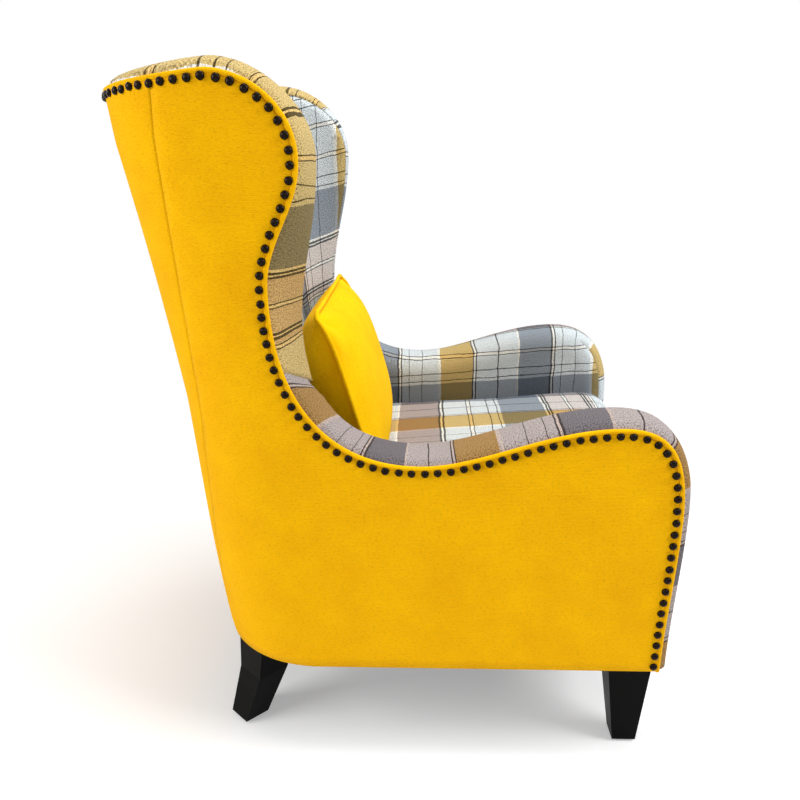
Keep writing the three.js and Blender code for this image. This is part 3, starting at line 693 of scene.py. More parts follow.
@dataclass(frozen=True)
class Wall:
    """The upholstered wall's form: the barrel outside, the inside faces and the edge line."""

    half_width: float = 345.0
    base_z: float = 167.0
    back_foot_x: float = -294.0
    back_top_x: float = -441.0
    back_curve_power: float = 1.35
    corner_foot_radius: float = 172.0
    corner_top_radius: float = 200.0
    back_swell: float = 10.0
    swell_height: float = 410.0
    swell_power: float = 0.75
    rim_tuck: float = 7.0
    tuck_z: float = 975.0
    rim_fall: float = 20.0
    seam_angle: float = 52.0
    panel_seam_foot: float = 68.0
    panel_seam_top: float = 25.0
    foot: Pair = (417.0, 167.0)
    arm_front: Pair = (427.0, 430.0)
    arm_high: Pair = (330.0, 573.0)
    arm_low: Pair = (35.0, 512.0)
    neck: Pair = (-175.0, 771.01)
    wing_front: Pair = (-126.0, 939.88)
    wing_top: Pair = (-247.0, 1055.0)
    inner_neck: Pair = (-146.0, 689.94)
    inner_wing_front: Pair = (-116.0, 939.88)
    foot_holds: Pair = (0.33, 0.33)
    arm_front_holds: Pair = (0.7, 0.7)
    arm_fall_holds: Pair = (0.38, 0.31)
    neck_rise_holds: Pair = (0.62, 0.64)
    wing_swell_holds: Pair = (0.37, 0.37)
    wing_top_holds: Pair = (0.59, 0.51)
    inner_half_width: float = 250.0
    lumbar_wall: float = 178.0
    top_wall: float = 125.0
    inner_foot_radius: float = 90.0
    inner_top_radius: float = 150.0
    outward_rise: float = 0.16
    curve_steps: int = 40

    def level(self, z: Array) -> Array:
        """Gives the share of the way up from the base to the top."""
        return clamped((z - self.base_z) / (self.wing_top[1] - self.base_z))

    def back_x(self, z: Array) -> Array:
        """Gives X of the outside back at a height."""
        return between(self.back_foot_x, self.back_top_x, self.level(z) ** self.back_curve_power)

    def panel_seam(self, z: Array) -> Array:
        """Gives the distance along the outside to the seam between side panel and back."""
        angle = np.radians(between(self.panel_seam_foot, self.panel_seam_top, self.level(z)))
        return -self.outer(z)[1] * angle

    def outer(self, z: Array) -> tuple[Array, Array, float]:
        """Gives the outside's corner start in X, its corner radius, and its half width.

        Args:
            z: The height, or several.

        Returns:
            The three, for each height.
        """
        radius = between(self.corner_foot_radius, self.corner_top_radius, self.level(z))
        # The stuffed back swells a little below the arms
        rise = clamped((z - self.base_z) / self.swell_height)
        swell = self.back_swell * np.sin(math.pi * rise**self.swell_power)
        swell = swell - self.rim_tuck * clamped((z - self.tuck_z) / (self.wing_top[1] - self.tuck_z))
        return self.back_x(z) - swell + radius, radius, self.half_width

    def inner(self, z: Array) -> tuple[Array, Array, float]:
        """Gives the inside's corner start in X, its corner radius, and its half width.

        Args:
            z: The height, or several.

        Returns:
            The three, for each height.
        """
        radius = between(self.inner_foot_radius, self.inner_top_radius, self.level(z))
        wall = between(self.lumbar_wall, self.top_wall, self.level(z) ** 2)
        return self.back_x(z) + wall + radius, radius, self.inner_half_width

    def rim_drop(self, x: Array, z: Array) -> Array:
        """Gives how far the rim drops toward the middle of the back.

        Args:
            x: Where each point lies in X.
            z: Its height.

        Returns:
            The drop there.
        """
        top_x, top_z = self.wing_top
        reach = clamped((top_x - x) / (top_x - self.back_top_x))
        rise = clamped((z - self.neck[1]) / (top_z - self.neck[1]))
        return self.rim_fall * reach * rise

    def place(self, run: Callable, along: Array, z: Array, inset: Array | float) -> Array:
        """Finds points of the outside or inside in space.

        Args:
            run: The method for that face, outer or inner.
            along: Distance forward of the corner's start; round the corner and back it is negative.
            z: Heights, before the rim's drop.
            inset: How far inside the face the points lie, away from its own surface.

        Returns:
            The points on the right-hand half.
        """
        along, z = np.broadcast_arrays(np.asarray(along, float), np.asarray(z, float))
        start_x, radius, half = run(z)
        quarter = radius * math.pi / 2
        angle = clamped(-along / radius, 0.0, math.pi / 2)
        beyond = np.maximum(-along - quarter, 0.0)
        turn = radius - inset
        x = start_x + np.maximum(along, 0.0) - turn * np.sin(angle)
        y = -half + radius - turn * np.cos(angle) + beyond
        return np.stack([x, y, z - self.rim_drop(x, z)], axis=-1)

    def along_of(self, run: Callable, x: Array, z: Array) -> Array:
        """Turns a side view's X into the distance along the outside or inside face.

        Args:
            run: The method for that face, outer or inner.
            x: Where each point lies in X.
            z: Its height.

        Returns:
            The distance forward of the corner's start; round the corner it is negative.
        """
        start_x, radius, _ = run(z)
        ahead = x - start_x
        angle = np.arcsin(clamped(-ahead / radius))
        return np.where(ahead >= 0, ahead, -radius * angle)

    def middle_of(self, run: Callable, z: Array) -> Array:
        """Gives the distance along a face to the middle of the back, which is negative."""
        _, radius, half = run(z)
        return -(radius * math.pi / 2 + half - radius)

    def to_middle(self, run: Callable, x: float, z: float, steps: tuple[int, int]) -> Array:
        """Steps along a face from a place on its corner to the middle of the back.

        Args:
            run: The method for that face, outer or inner.
            x: Where the place lies in X.
            z: Its height.
            steps: How many points lie on the corner, and how many beyond it.

        Returns:
            The distances along the face.
        """
        start = float(self.along_of(run, x, z))
        quarter = -float(run(z)[1]) * math.pi / 2
        middle = float(self.middle_of(run, z))
        ends = ((start, quarter), (quarter, middle))
        return np.concatenate([np.linspace(*end, count)[1:] for end, count in zip(ends, steps)])

    def curves(self, is_inner: bool) -> list[EdgeCurve]:
        """Gives the curves of the outside or inside edge line, from the foot to the wing's top.

        Args:
            is_inner: Whether it is the inside edge.

        Returns:
            The curves in order.
        """
        neck = self.inner_neck if is_inner else self.neck
        wing = self.inner_wing_front if is_inner else self.wing_front
        return [
            EdgeCurve(self.foot, self.arm_front, self.foot_holds, True, True),
            EdgeCurve(self.arm_front, self.arm_high, self.arm_front_holds, True, False),
            EdgeCurve(self.arm_high, self.arm_low, self.arm_fall_holds, False, False),
            EdgeCurve(self.arm_low, neck, self.neck_rise_holds, False, True),
            EdgeCurve(neck, wing, self.wing_swell_holds, True, True),
            EdgeCurve(wing, self.wing_top, self.wing_top_holds, True, False),
        ]

    def edge_line(self, inset: float = 0.0, is_inner: bool = False) -> Array:
        """Gives the edge line in the side view.

        Args:
            inset: How far inside the line the points lie.
            is_inner: Whether it is the padded band's inside edge.

        Returns:
            Rows of X and Z, equally many for the outside and the inside edge.
        """
        shares = np.linspace(0, 1, self.curve_steps + 1)
        rows = []
        for part, curve in enumerate(self.curves(is_inner)):
            points, along = curve.at(shares)
            points = points + np.stack([-along[:, 1], along[:, 0]], 1) * inset
            rows.append(points[1:] if part else points)
        return np.vstack(rows)

    def edge_run(self, inset: float, depth: float) -> tuple[Array, Array]:
        """Follows the right-hand half of the edge in space, from the foot to the middle of the back.

        Args:
            inset: How far inside the edge line the run lies.
            depth: How far behind the outside face it lies.

        Returns:
            The run's points, and the outward directions there.
        """
        side = self.edge_line(inset)
        z = self.wing_top[1] - inset
        _, radius, half = self.outer(z)
        back = self.to_middle(self.outer, side[-1, 0], z, (60, 20))
        flat = np.stack([side[:, 0], np.full(len(side), depth - half), side[:, 1]], 1)
        round_back = self.place(self.outer, back, np.full(len(back), z), depth)
        angle = clamped(-back / radius, 0.0, math.pi / 2)
        outward = np.stack([-np.sin(angle), -np.cos(angle), self.outward_rise * np.sin(angle)], 1)
        outs = np.vstack([np.tile([0.0, -1.0, 0.0], (len(side), 1)), outward])
        return np.vstack([flat, round_back]), unit(outs)

    def inward(self, flat: Array) -> Array:
        """Gives the inside face's own direction at places in the flat, level and into the chair."""
        angle = clamped(-flat[:, 0] / self.inner(flat[:, 1])[1], 0.0, math.pi / 2)
        return np.stack([np.sin(angle), np.cos(angle), np.zeros(len(angle))], 1)


@dataclass
class OutsidePanels:
    """The plain wool outside: two side panels round the barrel corner, and the back between."""

    wall: Wall
    finishes: Finishes
    piping_gap: float = 5.7
    seam_gap: float = 0.15
    cloth_thickness: float = 1.6
    roll: float = 0.6
    roll_reach: float = 5.0
    step: float = 13.0

    def dip(self, gaps: Array) -> Array:
        """Gives how deep the cloth dips, by its distance from a turned-in edge."""
        return self.roll * soft_fall(gaps, self.roll_reach)

    def build_side(self, side: Side) -> Piece:
        """Builds one side panel, from the front to the seam on the corner.

        Args:
            side: The side of the chair.

        Returns:
            The panel.
        """
        wall = self.wall
        edge = wall.edge_line(self.piping_gap)
        edge = edge[edge[:, 1] > wall.base_z + 1]
        along = wall.along_of(wall.outer, edge[:, 0], edge[:, 1])
        top = np.stack([along, edge[:, 1]], 1)
        top_z = edge[-1, 1]
        round_top = np.linspace(along[-1], float(wall.panel_seam(top_z)) + self.seam_gap, 12)[1:]
        levels = np.linspace(top_z, wall.base_z, 60)[1:]
        start = float(wall.along_of(wall.outer, wall.foot[0] - self.piping_gap, wall.base_z))
        outline = np.vstack([
            resampled(top, self.step),
            np.stack([round_top, np.full(len(round_top), top_z)], 1),
            np.stack([wall.panel_seam(levels) + self.seam_gap, levels], 1),
            [[start, wall.base_z]],
        ])
        flat, faces = filled_outline(outline, self.step)
        dip = self.dip(distance_to_line(flat, ringed(outline)))
        points = wall.place(wall.outer, flat[:, 0], flat[:, 1], dip)
        flat_part = flat[:, 0] >= 0
        points[flat_part, 1] = -wall.half_width + dip[flat_part]
        name = f"outside_cloth_{side.word}"
        wool = self.finishes.yellow_wool
        piece = mesh_piece(name, mirrored(points, side), facing(faces, side), wool, flat)
        return self.dress(piece, f"outside_panel_{side.word}")

    def build_back(self) -> Piece:
        """Builds the cloth across the back, from seam to seam.

        Returns:
            The panel.
        """
        wall = self.wall
        levels = np.linspace(wall.base_z, wall.wing_top[1] - self.piping_gap, 70)
        rows, places = [], []
        columns = 64
        for z in levels:
            middle = float(wall.middle_of(wall.outer, z))
            seam = float(wall.panel_seam(z)) - self.seam_gap
            along = np.linspace(seam, middle, columns)
            from_edge = np.minimum(np.abs(along - seam), min(z - levels[0], levels[-1] - z) + 0.01)
            dip = self.dip(from_edge)
            right = wall.place(wall.outer, along, np.full(columns, z), dip)
            beyond = along < -float(wall.outer(z)[1]) * math.pi / 2
            right[beyond, 0] += dip[beyond]
            rows.append(both_halves(right))
            flat = along - middle
            places.append(np.stack([np.r_[flat, -flat[::-1][1:]], np.full(2 * columns - 1, z)], 1))
        points, flat = np.vstack(rows), np.vstack(places)
        faces = flipped(grid_faces(len(levels), 2 * columns - 1))
        piece = mesh_piece("outside_cloth_back", points, faces, self.finishes.yellow_wool, flat)
        return self.dress(piece, "outside_back")

    def dress(self, piece: Piece, node: str) -> Piece:
        """Gives a panel its cloth's thickness, in the place of its node."""
        return stretch(piece, self.cloth_thickness, node)

    def build(self) -> list[Piece]:
        """Builds the three panels."""
        return [self.build_side(Side.RIGHT), self.build_side(Side.LEFT), self.build_back()]


def distance_to_line(points: Array, line: Array) -> Array:
    """Gives the distance of each point in a plane to a line of points.

    Args:
        points: The points, one row each.
        line: The line's points, in order.

    Returns:
        The shortest distance of each point to any stretch of the line.
    """
    best = np.full(len(points), np.inf)
    for start, end in zip(line, line[1:]):
        way = end - start
        length = float(way @ way)
        share = clamped((points - start) @ way / length) if length else np.zeros(len(points))
        nearest = start + share[:, None] * way
        best = np.minimum(best, np.linalg.norm(points - nearest, axis=1))
    return best


def frames_along(points: Array, outs: Array, is_ring: bool = False) -> tuple[Array, Array]:
    """Gives square directions along a run.

    Args:
        points: The run's points.
        outs: Rough outward directions.
        is_ring: Whether the run's end joins its start.

    Returns:
        The directions across the run, and the outward ones made square to it.
    """
    steps = np.roll(points, -1, 0) - np.roll(points, 1, 0) if is_ring else np.gradient(points, axis=0)
    along = unit(steps)
    across = unit(np.cross(along, outs))
    return across, np.cross(across, along)


def both_halves(points: Array) -> Array:
    """Joins a right-hand run and its mirror image, which meet in the middle of the back."""
    mirror = np.array([1, -1, 1])[: points.shape[1]]
    return np.vstack([points, (points * mirror)[::-1][1:]])


def tube(
    points: Array, outs: Array, radius: float, sides: int, is_ring: bool = False
) -> tuple[Array, Faces, Array]:
    """Sweeps a round section along a run.

    Args:
        points: The run's points.
        outs: Outward directions along it.
        radius: The section's radius.
        sides: How many sides the section has.
        is_ring: Whether the run's end joins its start.

    Returns:
        The tube's points, its faces with any ends closed, and the cloth places on it.
    """
    across, out = frames_along(points, outs, is_ring)
    angles = np.linspace(0, 2 * math.pi, sides, endpoint=False)
    rings = (
        points[:, None, :]
        + radius * np.cos(angles)[None, :, None] * across[:, None, :]
        + radius * np.sin(angles)[None, :, None] * out[:, None, :]
    )
    count = len(points)
    faces = []
    for r in range(count if is_ring else count - 1):
        here, there = r * sides, (r + 1) % count * sides
        for s, after in zip(range(sides), [*range(1, sides), 0]):
            faces.append((here + s, here + after, there + after, there + s))
    if not is_ring:
        faces.append(tuple(reversed(range(sides))))
        faces.append(tuple(range((count - 1) * sides, count * sides)))
    turns = angles if is_ring else np.abs(angles - math.pi)
    cloth = np.stack([np.repeat(run_lengths(points), sides), np.tile(turns * radius, count)], 1)
    return rings.reshape(-1, 3), faces, cloth


@dataclass
class EdgePiping:
    """The covered cord that runs along the whole edge, sewn between panels and padded band."""

    wall: Wall
    finishes: Finishes
    radius: float = 3.8
    inset: float = 4.6
    depth: float = 2.2
    sides: int = 12
    step: float = 6.0

    def build(self) -> Piece:
        """Builds the piping as one tube.

        Returns:
            The piping.
        """
        points, outs = map(both_halves, self.wall.edge_run(self.inset, self.depth))
        together = resampled(np.hstack([points, outs]), self.step, run_lengths(points))
        shape, faces, cloth = tube(together[:, :3], together[:, 3:], self.radius, self.sides)
        piece = mesh_piece("piping_cord", shape, faces, self.finishes.yellow_wool, cloth)
        fit(piece, "edge_piping")
        return piece


@dataclass
class NailTrim:
    """Domed nails of darkened brass, driven in close beside the piping."""

    wall: Wall
    finishes: Finishes
    diameter: float = 12.0
    height: float = 5.0
    pitch: float = 19.2
    inset: float = 11.9
    sides: int = 16
    rings: int = 5
    rim_share: float = 0.16
    unevenness: float = 0.35
    lean: float = 0.05
    seed: int = 7

    def dome(self) -> tuple[Array, Faces]:
        """Gives one nail head, flat on its underside, with a thin upright rim.

        Returns:
            Its points round its own middle, and its faces.
        """
        angles = np.linspace(0, 2 * math.pi, self.sides, endpoint=False)
        rim = self.rim_share
        profile = [(1.0, 0.0), (1.0, rim)]
        for i in range(1, self.rings):
            turn = math.pi / 2 * i / self.rings
            profile.append((math.cos(turn), rim + (1 - rim) * math.sin(turn)))
        rows = [np.zeros((1, 3))]
        for share, rise in profile:
            reach = self.diameter / 2 * share
            level = np.full(self.sides, self.height * rise)
            rows.append(np.stack([reach * np.cos(angles), reach * np.sin(angles), level], 1))
        rows.append(np.array([[0.0, 0.0, self.height]]))
        count = self.sides
        faces = [(0, 1 + (s + 1) % count, 1 + s) for s in range(count)]
        for r in range(len(profile) - 1):
            for s in range(count):
                a, b = 1 + r * count + s, 1 + r * count + (s + 1) % count
                faces.append((a, b, b + count, a + count))
        top = 1 + len(profile) * count
        last = top - count
        faces.extend((last + s, last + (s + 1) % count, top) for s in range(count))
        return np.vstack(rows), faces

    def row(self, name: str, points: Array, outs: Array, is_mirrored: bool = False) -> Piece:
        """Sets nails along a run.

        Args:
            name: The word that ends the names of the piece and of its node.
            points: The run that the nails follow.
            outs: Outward directions along it.
            is_mirrored: Whether the run is a mirror image.

        Returns:
            All the nails as one piece.
        """
        lengths = run_lengths(points)
        count = round(lengths[-1] / self.pitch)
        stops = (np.arange(count) + 0.5) * lengths[-1] / count
        places, away = at_stops(stops, lengths, points), at_stops(stops, lengths, outs)
        across, out = frames_along(places, away)
        along = np.cross(out, across)
        dome, faces = self.dome()
        chance = np.random.default_rng(self.seed)
        shapes, all_faces = [], []
        for i in range(count):
            shift = chance.normal(0, self.unevenness, 3)
            lean = chance.normal(0, self.lean, 2)
            up = out[i] + lean[0] * along[i] + lean[1] * across[i]
            shapes.append(
                places[i] + shift[0] * along[i] + shift[1] * across[i]
                + dome[:, :1] * across[i] + dome[:, 1:2] * along[i] * (-1 if is_mirrored else 1)
                + dome[:, 2:] * up
            )
            all_faces.extend(moved_on(faces, i * len(dome)))
        piece = mesh_piece(f"domed_nails_{name}", np.vstack(shapes), all_faces, self.finishes.bronze)
        fit(piece, f"nail_trim_{name}")
        return piece

    def build(self) -> list[Piece]:
        """Builds the three rows of nails.

        Returns:
            The rows of the right side, the left side and the back.
        """
        run = self.wall.edge_run(self.inset, 0.0)
        _, radius, half = self.wall.outer(self.wall.wing_top[1])
        seam_y = -half + radius * (1 - math.cos(math.radians(self.wall.seam_angle)))
        on_side = np.searchsorted(run[0][:, 1], seam_y)
        rows = []
        for side in Side:
            points, outs = (mirrored(line[:on_side], side) for line in run)
            rows.append(self.row(side.word, points, outs, side is Side.LEFT))
        points, outs = (both_halves(line[on_side:]) for line in run)
        return [*rows, self.row("back", points, outs)]


class Part(Enum):
    """The pieces that the padded wall is parted into."""

    ARM = "arm"
    WING = "wing"
    BACK = "back"


@dataclass(frozen=True)
class CheckLay:
    """How the check lies on one face: where its repeat starts, and how the cloth is turned."""

    along: float
    down: float
    turn: float = 0.0

    def places(self, x: Array, z: Array) -> Array:
        """Gives the places along the warp and down the weft, by how far forward and how high."""
        turn = math.radians(self.turn)
        return np.stack([self.along + x, self.down - z * math.cos(turn) + x * math.sin(turn)], 1)


def sewn(points: Array, faces: Faces, cloth: Array, most: float) -> tuple[Array, Faces, Array]:
    """Makes one of two points that lie together, where the cloth runs on between them.

    Args:
        points: The points.
        faces: The faces.
        cloth: The places on the cloth.
        most: The longest step between two places at which the cloth still runs on.

    Returns:
        The points, faces and places, with fewer points.
    """
    order = np.lexsort(np.round(points, 1).T)
    stands_for = np.arange(len(points))
    for a, b in zip(order, order[1:]):
        together = np.linalg.norm(points[a] - points[b]) < 0.05
        if together and np.linalg.norm(cloth[a] - cloth[b]) < most:
            stands_for[max(a, b)] = stands_for[min(a, b)]
    kept, numbers = np.unique(stands_for, return_inverse=True)
    numbers = numbers.ravel()
    joined = [tuple(int(numbers[v]) for v in face) for face in faces]
    return points[kept], [f for f in joined if len(set(f)) == len(f)], cloth[kept]


@dataclass
class BandStations:
    """The padded band's cross lines over the right-hand half, from the foot to the back's middle."""

    outer: Array
    inner: Array
    flat: Array
    lengths: Array
    high: int
    low: int
    split: int
    back: int

    def directions(self, wall: Wall) -> tuple[Array, Array, Array]:
        """Gives square directions at the band's inside edge.

        Args:
            wall: The wall's form.

        Returns:
            Unit directions at each station: outward over the band, up off it, and into the inside face.
        """
        over = unit(self.outer - self.inner)
        off = unit(np.cross(np.gradient((self.outer + self.inner) / 2, axis=0), -over))
        if off[self.high, 2] < 0:
            off = -off
        along = unit(np.gradient(self.inner, axis=0))
        return over, off, np.cross(along, wall.inward(self.flat))


@dataclass
class PaddedWall:
    """The checked inside: padded bands over the edge, and the inside faces of arms, wings and back."""

    wall: Wall
    finishes: Finishes
    split_z: float = 607.0
    back_edge_y: float = 145.0
    outer_inset: float = 3.8
    outer_depth: float = 5.0
    lip_reach: float = 5.0
    arm_round: float = 36.0
    wing_round: float = 9.0
    back_round: float = 20.0
    fade_rounds: float = 1.6
    arm_fullness: float = 0.72
    wing_fullness: float = 0.25
    crown: float = 12.0
    wing_front_crown: float = 5.0
    top_crown: float = 20.0
    crown_power: float = 0.5
    front_fullness: float = 6.0
    front_rise: float = 90.0
    band_steps: int = 14
    cloth_thickness: float = 2.0
    step: float = 13.0
    seam_dip: float = 3.5
    seam_reach: float = 8.0
    end_reach: float = 20.0
    seat_level: float = 200.0
    arm_lay: CheckLay = CheckLay(9.5, 577.7, 4.5)
    wing_lay: CheckLay = CheckLay(225.0, 1010.6, 14.0)
    back_lay: CheckLay = CheckLay(150.0, 1000.0)
    right_arm_along: float = 251.5
    right_arm_down: float = -50.0
    right_band_down: float = -3.0
    right_band_share: float = 0.8
    right_tight_x: float = 110.0
    right_tight_share: float = 0.36
    wing_band_along: float = 95.0
    wing_band_share: float = 0.62
    wing_band_down: float = 207.0
    wing_band_z: float = 788.0
    top_band_length: float = 118.0
    left_wing_band_along: float = 176.0
    top_band_along: float = 89.0
    top_band_reach: float = 50.0
    cloth_step: float = 16.0
    gathers: float = 1.6
    gather_pitch: float = 15.0
    gather_reach: float = 40.0

    def stations(self) -> BandStations:
        """Steps along the band's outside and inside edges.

        Returns:
            The band's cross lines.
        """
        wall = self.wall
        top = wall.wing_top[1]
        edge = wall.edge_line(self.outer_inset)
        inside = wall.edge_line(is_inner=True)
        outer = np.stack([
            edge[:, 0], np.full(len(edge), self.outer_depth - wall.half_width), edge[:, 1]
        ], 1)
        flat = np.stack([wall.along_of(wall.inner, inside[:, 0], inside[:, 1]), inside[:, 1]], 1)
        rim, steps = top - self.outer_inset, (50, 22)
        outside = wall.to_middle(wall.outer, edge[-1, 0], rim, steps)
        round_top = wall.place(wall.outer, outside, np.full(len(outside), rim), self.outer_depth)
        within = wall.to_middle(wall.inner, inside[-1, 0], top, steps)
        outer = np.vstack([outer, round_top])
        flat = np.vstack([flat, np.stack([within, np.full(len(within), top)], 1)])
        inner = wall.place(wall.inner, flat[:, 0], flat[:, 1], 0.0)
        even = resampled(
            np.hstack([outer, flat]), self.step * 0.75, run_lengths((outer + inner) / 2)
        )
        outer, flat = even[:, :3], even[:, 3:]
        inner = wall.place(wall.inner, flat[:, 0], flat[:, 1], 0.0)
        before_neck = outer[:, 0] > wall.arm_low[0]
        return BandStations(
            outer=outer,
            inner=inner,
            flat=flat,
            lengths=run_lengths(inner),
            high=int(np.argmax(np.where(before_neck, inner[:, 2], 0.0))),
            low=int(np.argmin(before_neck)),
            split=int(np.argmax((inner[:, 2] > self.split_z) & ~before_neck)),
            back=int(np.argmax(inner[:, 1] > -self.back_edge_y)),
        )

    def band(self, part: Part, side: Side, at: BandStations) -> tuple[Array, Array]:
        """Builds the crowned band of one part.

        Args:
            part: The part of the wall.
            side: The side of the chair, for the lay of its check.
            at: The band's stations.

        Returns:
            The points and the cloth places, by station and by step across.
        """
        first, last = self.span(part, at)
        outer, inner = at.outer, at.inner
        turns = np.linspace(0, math.pi / 2, self.band_steps + 1)
        shares = (1 - np.cos(2 * turns)) / 2 if part is Part.WING else 1 - np.cos(turns)
        swell_share = np.sin(math.pi * shares) ** self.crown_power
        full = between(self.fullness_of(part), 1.0, swell_share)
        swell_share = np.where(shares > 0.5, full, swell_share)
        height = self.heights(part, at)
        stations = np.repeat(np.arange(len(outer)), len(shares))
        widths = np.linalg.norm(outer - inner, axis=1)[:, None]
        reach = (widths * (1 - shares)[None, :]).ravel()
        # Out of the groove beside the piping the cloth rises steeply
        lip = self.outer_inset * (1 - shares) * (1 - soft_fall(widths * shares, self.lip_reach))
        lift = (height[:, None] * swell_share[None, :] + lip).ravel()
        points = self.turned(at, stations, reach, 0.0 * reach, lift, self.round_of(part))
        points = points.reshape(len(outer), len(shares), 3)
        width = self.wall.half_width - self.wall.inner_half_width
        from_inner = (1 - shares) * width - (1 - math.pi / 4) * np.minimum(
            (1 - shares) * width, self.round_of(part)
        )
        lengths = at.lengths
        if part is Part.ARM:
            held = np.clip(np.arange(len(lengths)), at.high, at.low)
            along, down = self.arm_lay.places(inner[held, 0], inner[held, 2]).T
            along = along + lengths[held] - lengths
            if side is Side.RIGHT:
                down = np.full(len(down), self.right_band_down)
                from_inner = from_inner * self.right_band_share
            along = np.repeat(along[:, None], len(shares), 1)
            cloth = np.stack([along, down[:, None] - from_inner[None, :]], 2)
        else:
            mark = int(np.argmax((inner[:, 2] > self.wing_band_z) & (outer[:, 0] < 0)))
            # Up the wing's front the weft lies level
            upright = clamped((self.wall.wing_front[1] - inner[:, 2]) / self.step / 6)
            rise = (points[:, :, 2] - inner[:, None, 2]) * upright[:, None]
            over = (lengths - lengths[mark])[:, None] + rise - self.wing_band_down
            # Over the top another length begins, cut from the pale part of the check
            pale = self.top_band_length
            down = np.where(over < 0, -over, pale - np.abs(pale - np.maximum(over, 0) % (2 * pale)))
            start = self.wing_band_along if side is Side.RIGHT else self.left_wing_band_along
            start = between(start, self.top_band_along, clamped(over / self.top_band_reach))
            along = start + shares[None, :] * width * self.wing_band_share
            cloth = np.stack([along, down], 2)
        if part is Part.ARM and side is Side.RIGHT:
            cloth[:, :, 0] = self.right_arm_along - cloth[:, :, 0]
            behind = lengths - lengths[int(np.argmax(outer[:, 0] < self.right_tight_x))]
            cloth[:, :, 0] += (self.right_tight_share * np.maximum(behind, 0.0))[:, None]
        return points[first:last], cloth[first:last]

    def round_of(self, part: Part) -> float:
        """Gives the radius of the roll from a part's band into its inside face."""
        return {Part.ARM: self.arm_round, Part.WING: self.wing_round, Part.BACK: self.back_round}[part]

    def fullness_of(self, part: Part) -> float:
        """Gives the share of its height that a part's padding keeps in the roll."""
        return self.arm_fullness if part is Part.ARM else self.wing_fullness

    def heights(self, part: Part, at: BandStations) -> Array:
        """Gives how high the band's padding swells at each station.

        Args:
            part: The part of the wall.
            at: The band's stations.

        Returns:
            The heights: level on the arms, low up the wings' fronts and high over the top.
        """
        from_split = np.abs(at.lengths - at.lengths[at.split])
        if part is Part.ARM:
            # The cloth is gathered where the arm ends against the wing
            fold = np.sin(2 * math.pi * from_split / self.gather_pitch)
            height = self.crown + self.gathers * fold * soft_fall(from_split, self.gather_reach)
            below = (at.inner[at.high, 2] - at.inner[:, 2]) / self.front_rise
            height[: at.high] += self.front_fullness * clamped(below[: at.high])
        else:
            along = np.gradient(at.outer, axis=0)
            upright = np.abs(along[:, 2]) / np.linalg.norm(along, axis=1)
            soft = np.convolve(np.pad(upright, 4, mode="edge"), np.full(9, 1 / 9), mode="valid")
            height = between(self.top_crown, self.wing_front_crown, clamped(soft))
        return height - (height - 1.0) * soft_fall(from_split, self.end_reach)

    def span(self, part: Part, at: BandStations) -> tuple[int, int]:
        """Gives a part's first station and the one after its last."""
        return {
            Part.ARM: (0, at.split + 1),
            Part.WING: (at.split, at.back + 1),
            Part.BACK: (at.back, len(at.outer)),
        }[part]

    def turned(
        self, at: BandStations, stations: Array, over: Array, into: Array, lift: Array, radius: float
    ) -> Array:
        """Rolls band and inside face into each other round the inside edge.

        Args:
            at: The band's stations.
            stations: Each point's station.
            over: Each point's distance from the inside edge over the band.
            into: Its distance from the edge down the inside face.
            lift: How far the padding stands off there.
            radius: The roll's radius.

        Returns:
            The points in space.
        """
        over_way, off_way, into_way = (way[stations] for way in at.directions(self.wall))
        angle = math.pi / 4 * (1 - clamped(over / radius) + clamped(into / radius))[:, None]
        curve = radius * ((1 - np.cos(angle)) * into_way + (1 - np.sin(angle)) * over_way)
        beyond = np.maximum(over - radius, 0.0)[:, None] * over_way
        beyond = beyond + np.maximum(into - radius, 0.0)[:, None] * into_way
        away = unit(off_way * np.cos(angle) - over_way * np.sin(angle))
        return at.inner[stations] + curve + beyond + lift[:, None] * away

    def back_edge(self, z: Array) -> Array:
        """Gives the distance along the inside face to the seam beside the back.

        Args:
            z: The height, or several.

        Returns:
            The distance, which is negative.
        """
        _, radius, half = self.wall.inner(z)
        reach = half - self.back_edge_y
        on_corner = radius * np.arccos(clamped(1 - reach / radius, -1.0, 1.0))
        on_flat = radius * math.pi / 2 + reach - radius
        return -np.where(radius > reach, on_corner, on_flat)

    def arm_seam(self) -> Array:
        """Gives the seam between the arm's inside face and the wing's in the flat, from the top down."""
        levels = np.linspace(self.split_z, self.seat_level, 30)
        return np.stack([self.wall.along_of(self.wall.inner, self.wall.inner_neck[0], levels), levels], 1)

    def face(self, part: Part, at: BandStations) -> tuple[Array, Faces, Array]:
        """Fills an inside face and sets it in space.

        Args:
            part: The part of the wall.
            at: The band's stations, whose inside edge the face shares.

        Returns:
            Its points, its faces and its places in the flat, for the right-hand half.
        """
        wall = self.wall
        first, last = self.span(part, at)
        edge = at.flat[first:last]
        arm_seam = self.arm_seam()
        levels = np.linspace(wall.wing_top[1], self.seat_level, 70)
        back_seam = np.stack([self.back_edge(levels), levels], 1)
        if part is Part.ARM:
            edge = edge[edge[:, 1] > self.seat_level]
            start = float(wall.along_of(wall.inner, at.inner[0, 0] + 4, self.seat_level))
            outline = np.vstack([[[start, self.seat_level]], edge, arm_seam])
            seams = [arm_seam]
        elif part is Part.WING:
            outline = np.vstack([arm_seam[::-1], edge, back_seam[1:]])
            seams = [arm_seam, back_seam]
        else:
            middle = np.stack([wall.middle_of(wall.inner, levels), levels], 1)
            outline = np.vstack([edge, middle[1:], back_seam[::-1][:-1]])
            seams = [back_seam]
        flat, faces = filled_outline(outline, self.step)
        dip = np.zeros(len(flat))
        for seam in seams:
            dip += self.seam_dip * soft_fall(distance_to_line(flat, seam), self.seam_reach)
        from_edge = distance_to_line(flat, edge)
        dip = np.minimum(dip, self.seam_dip) * (1 - soft_fall(from_edge, self.seam_reach))
        points = wall.place(wall.inner, flat[:, 0], flat[:, 1], 0.0)
        inward = wall.inward(flat)
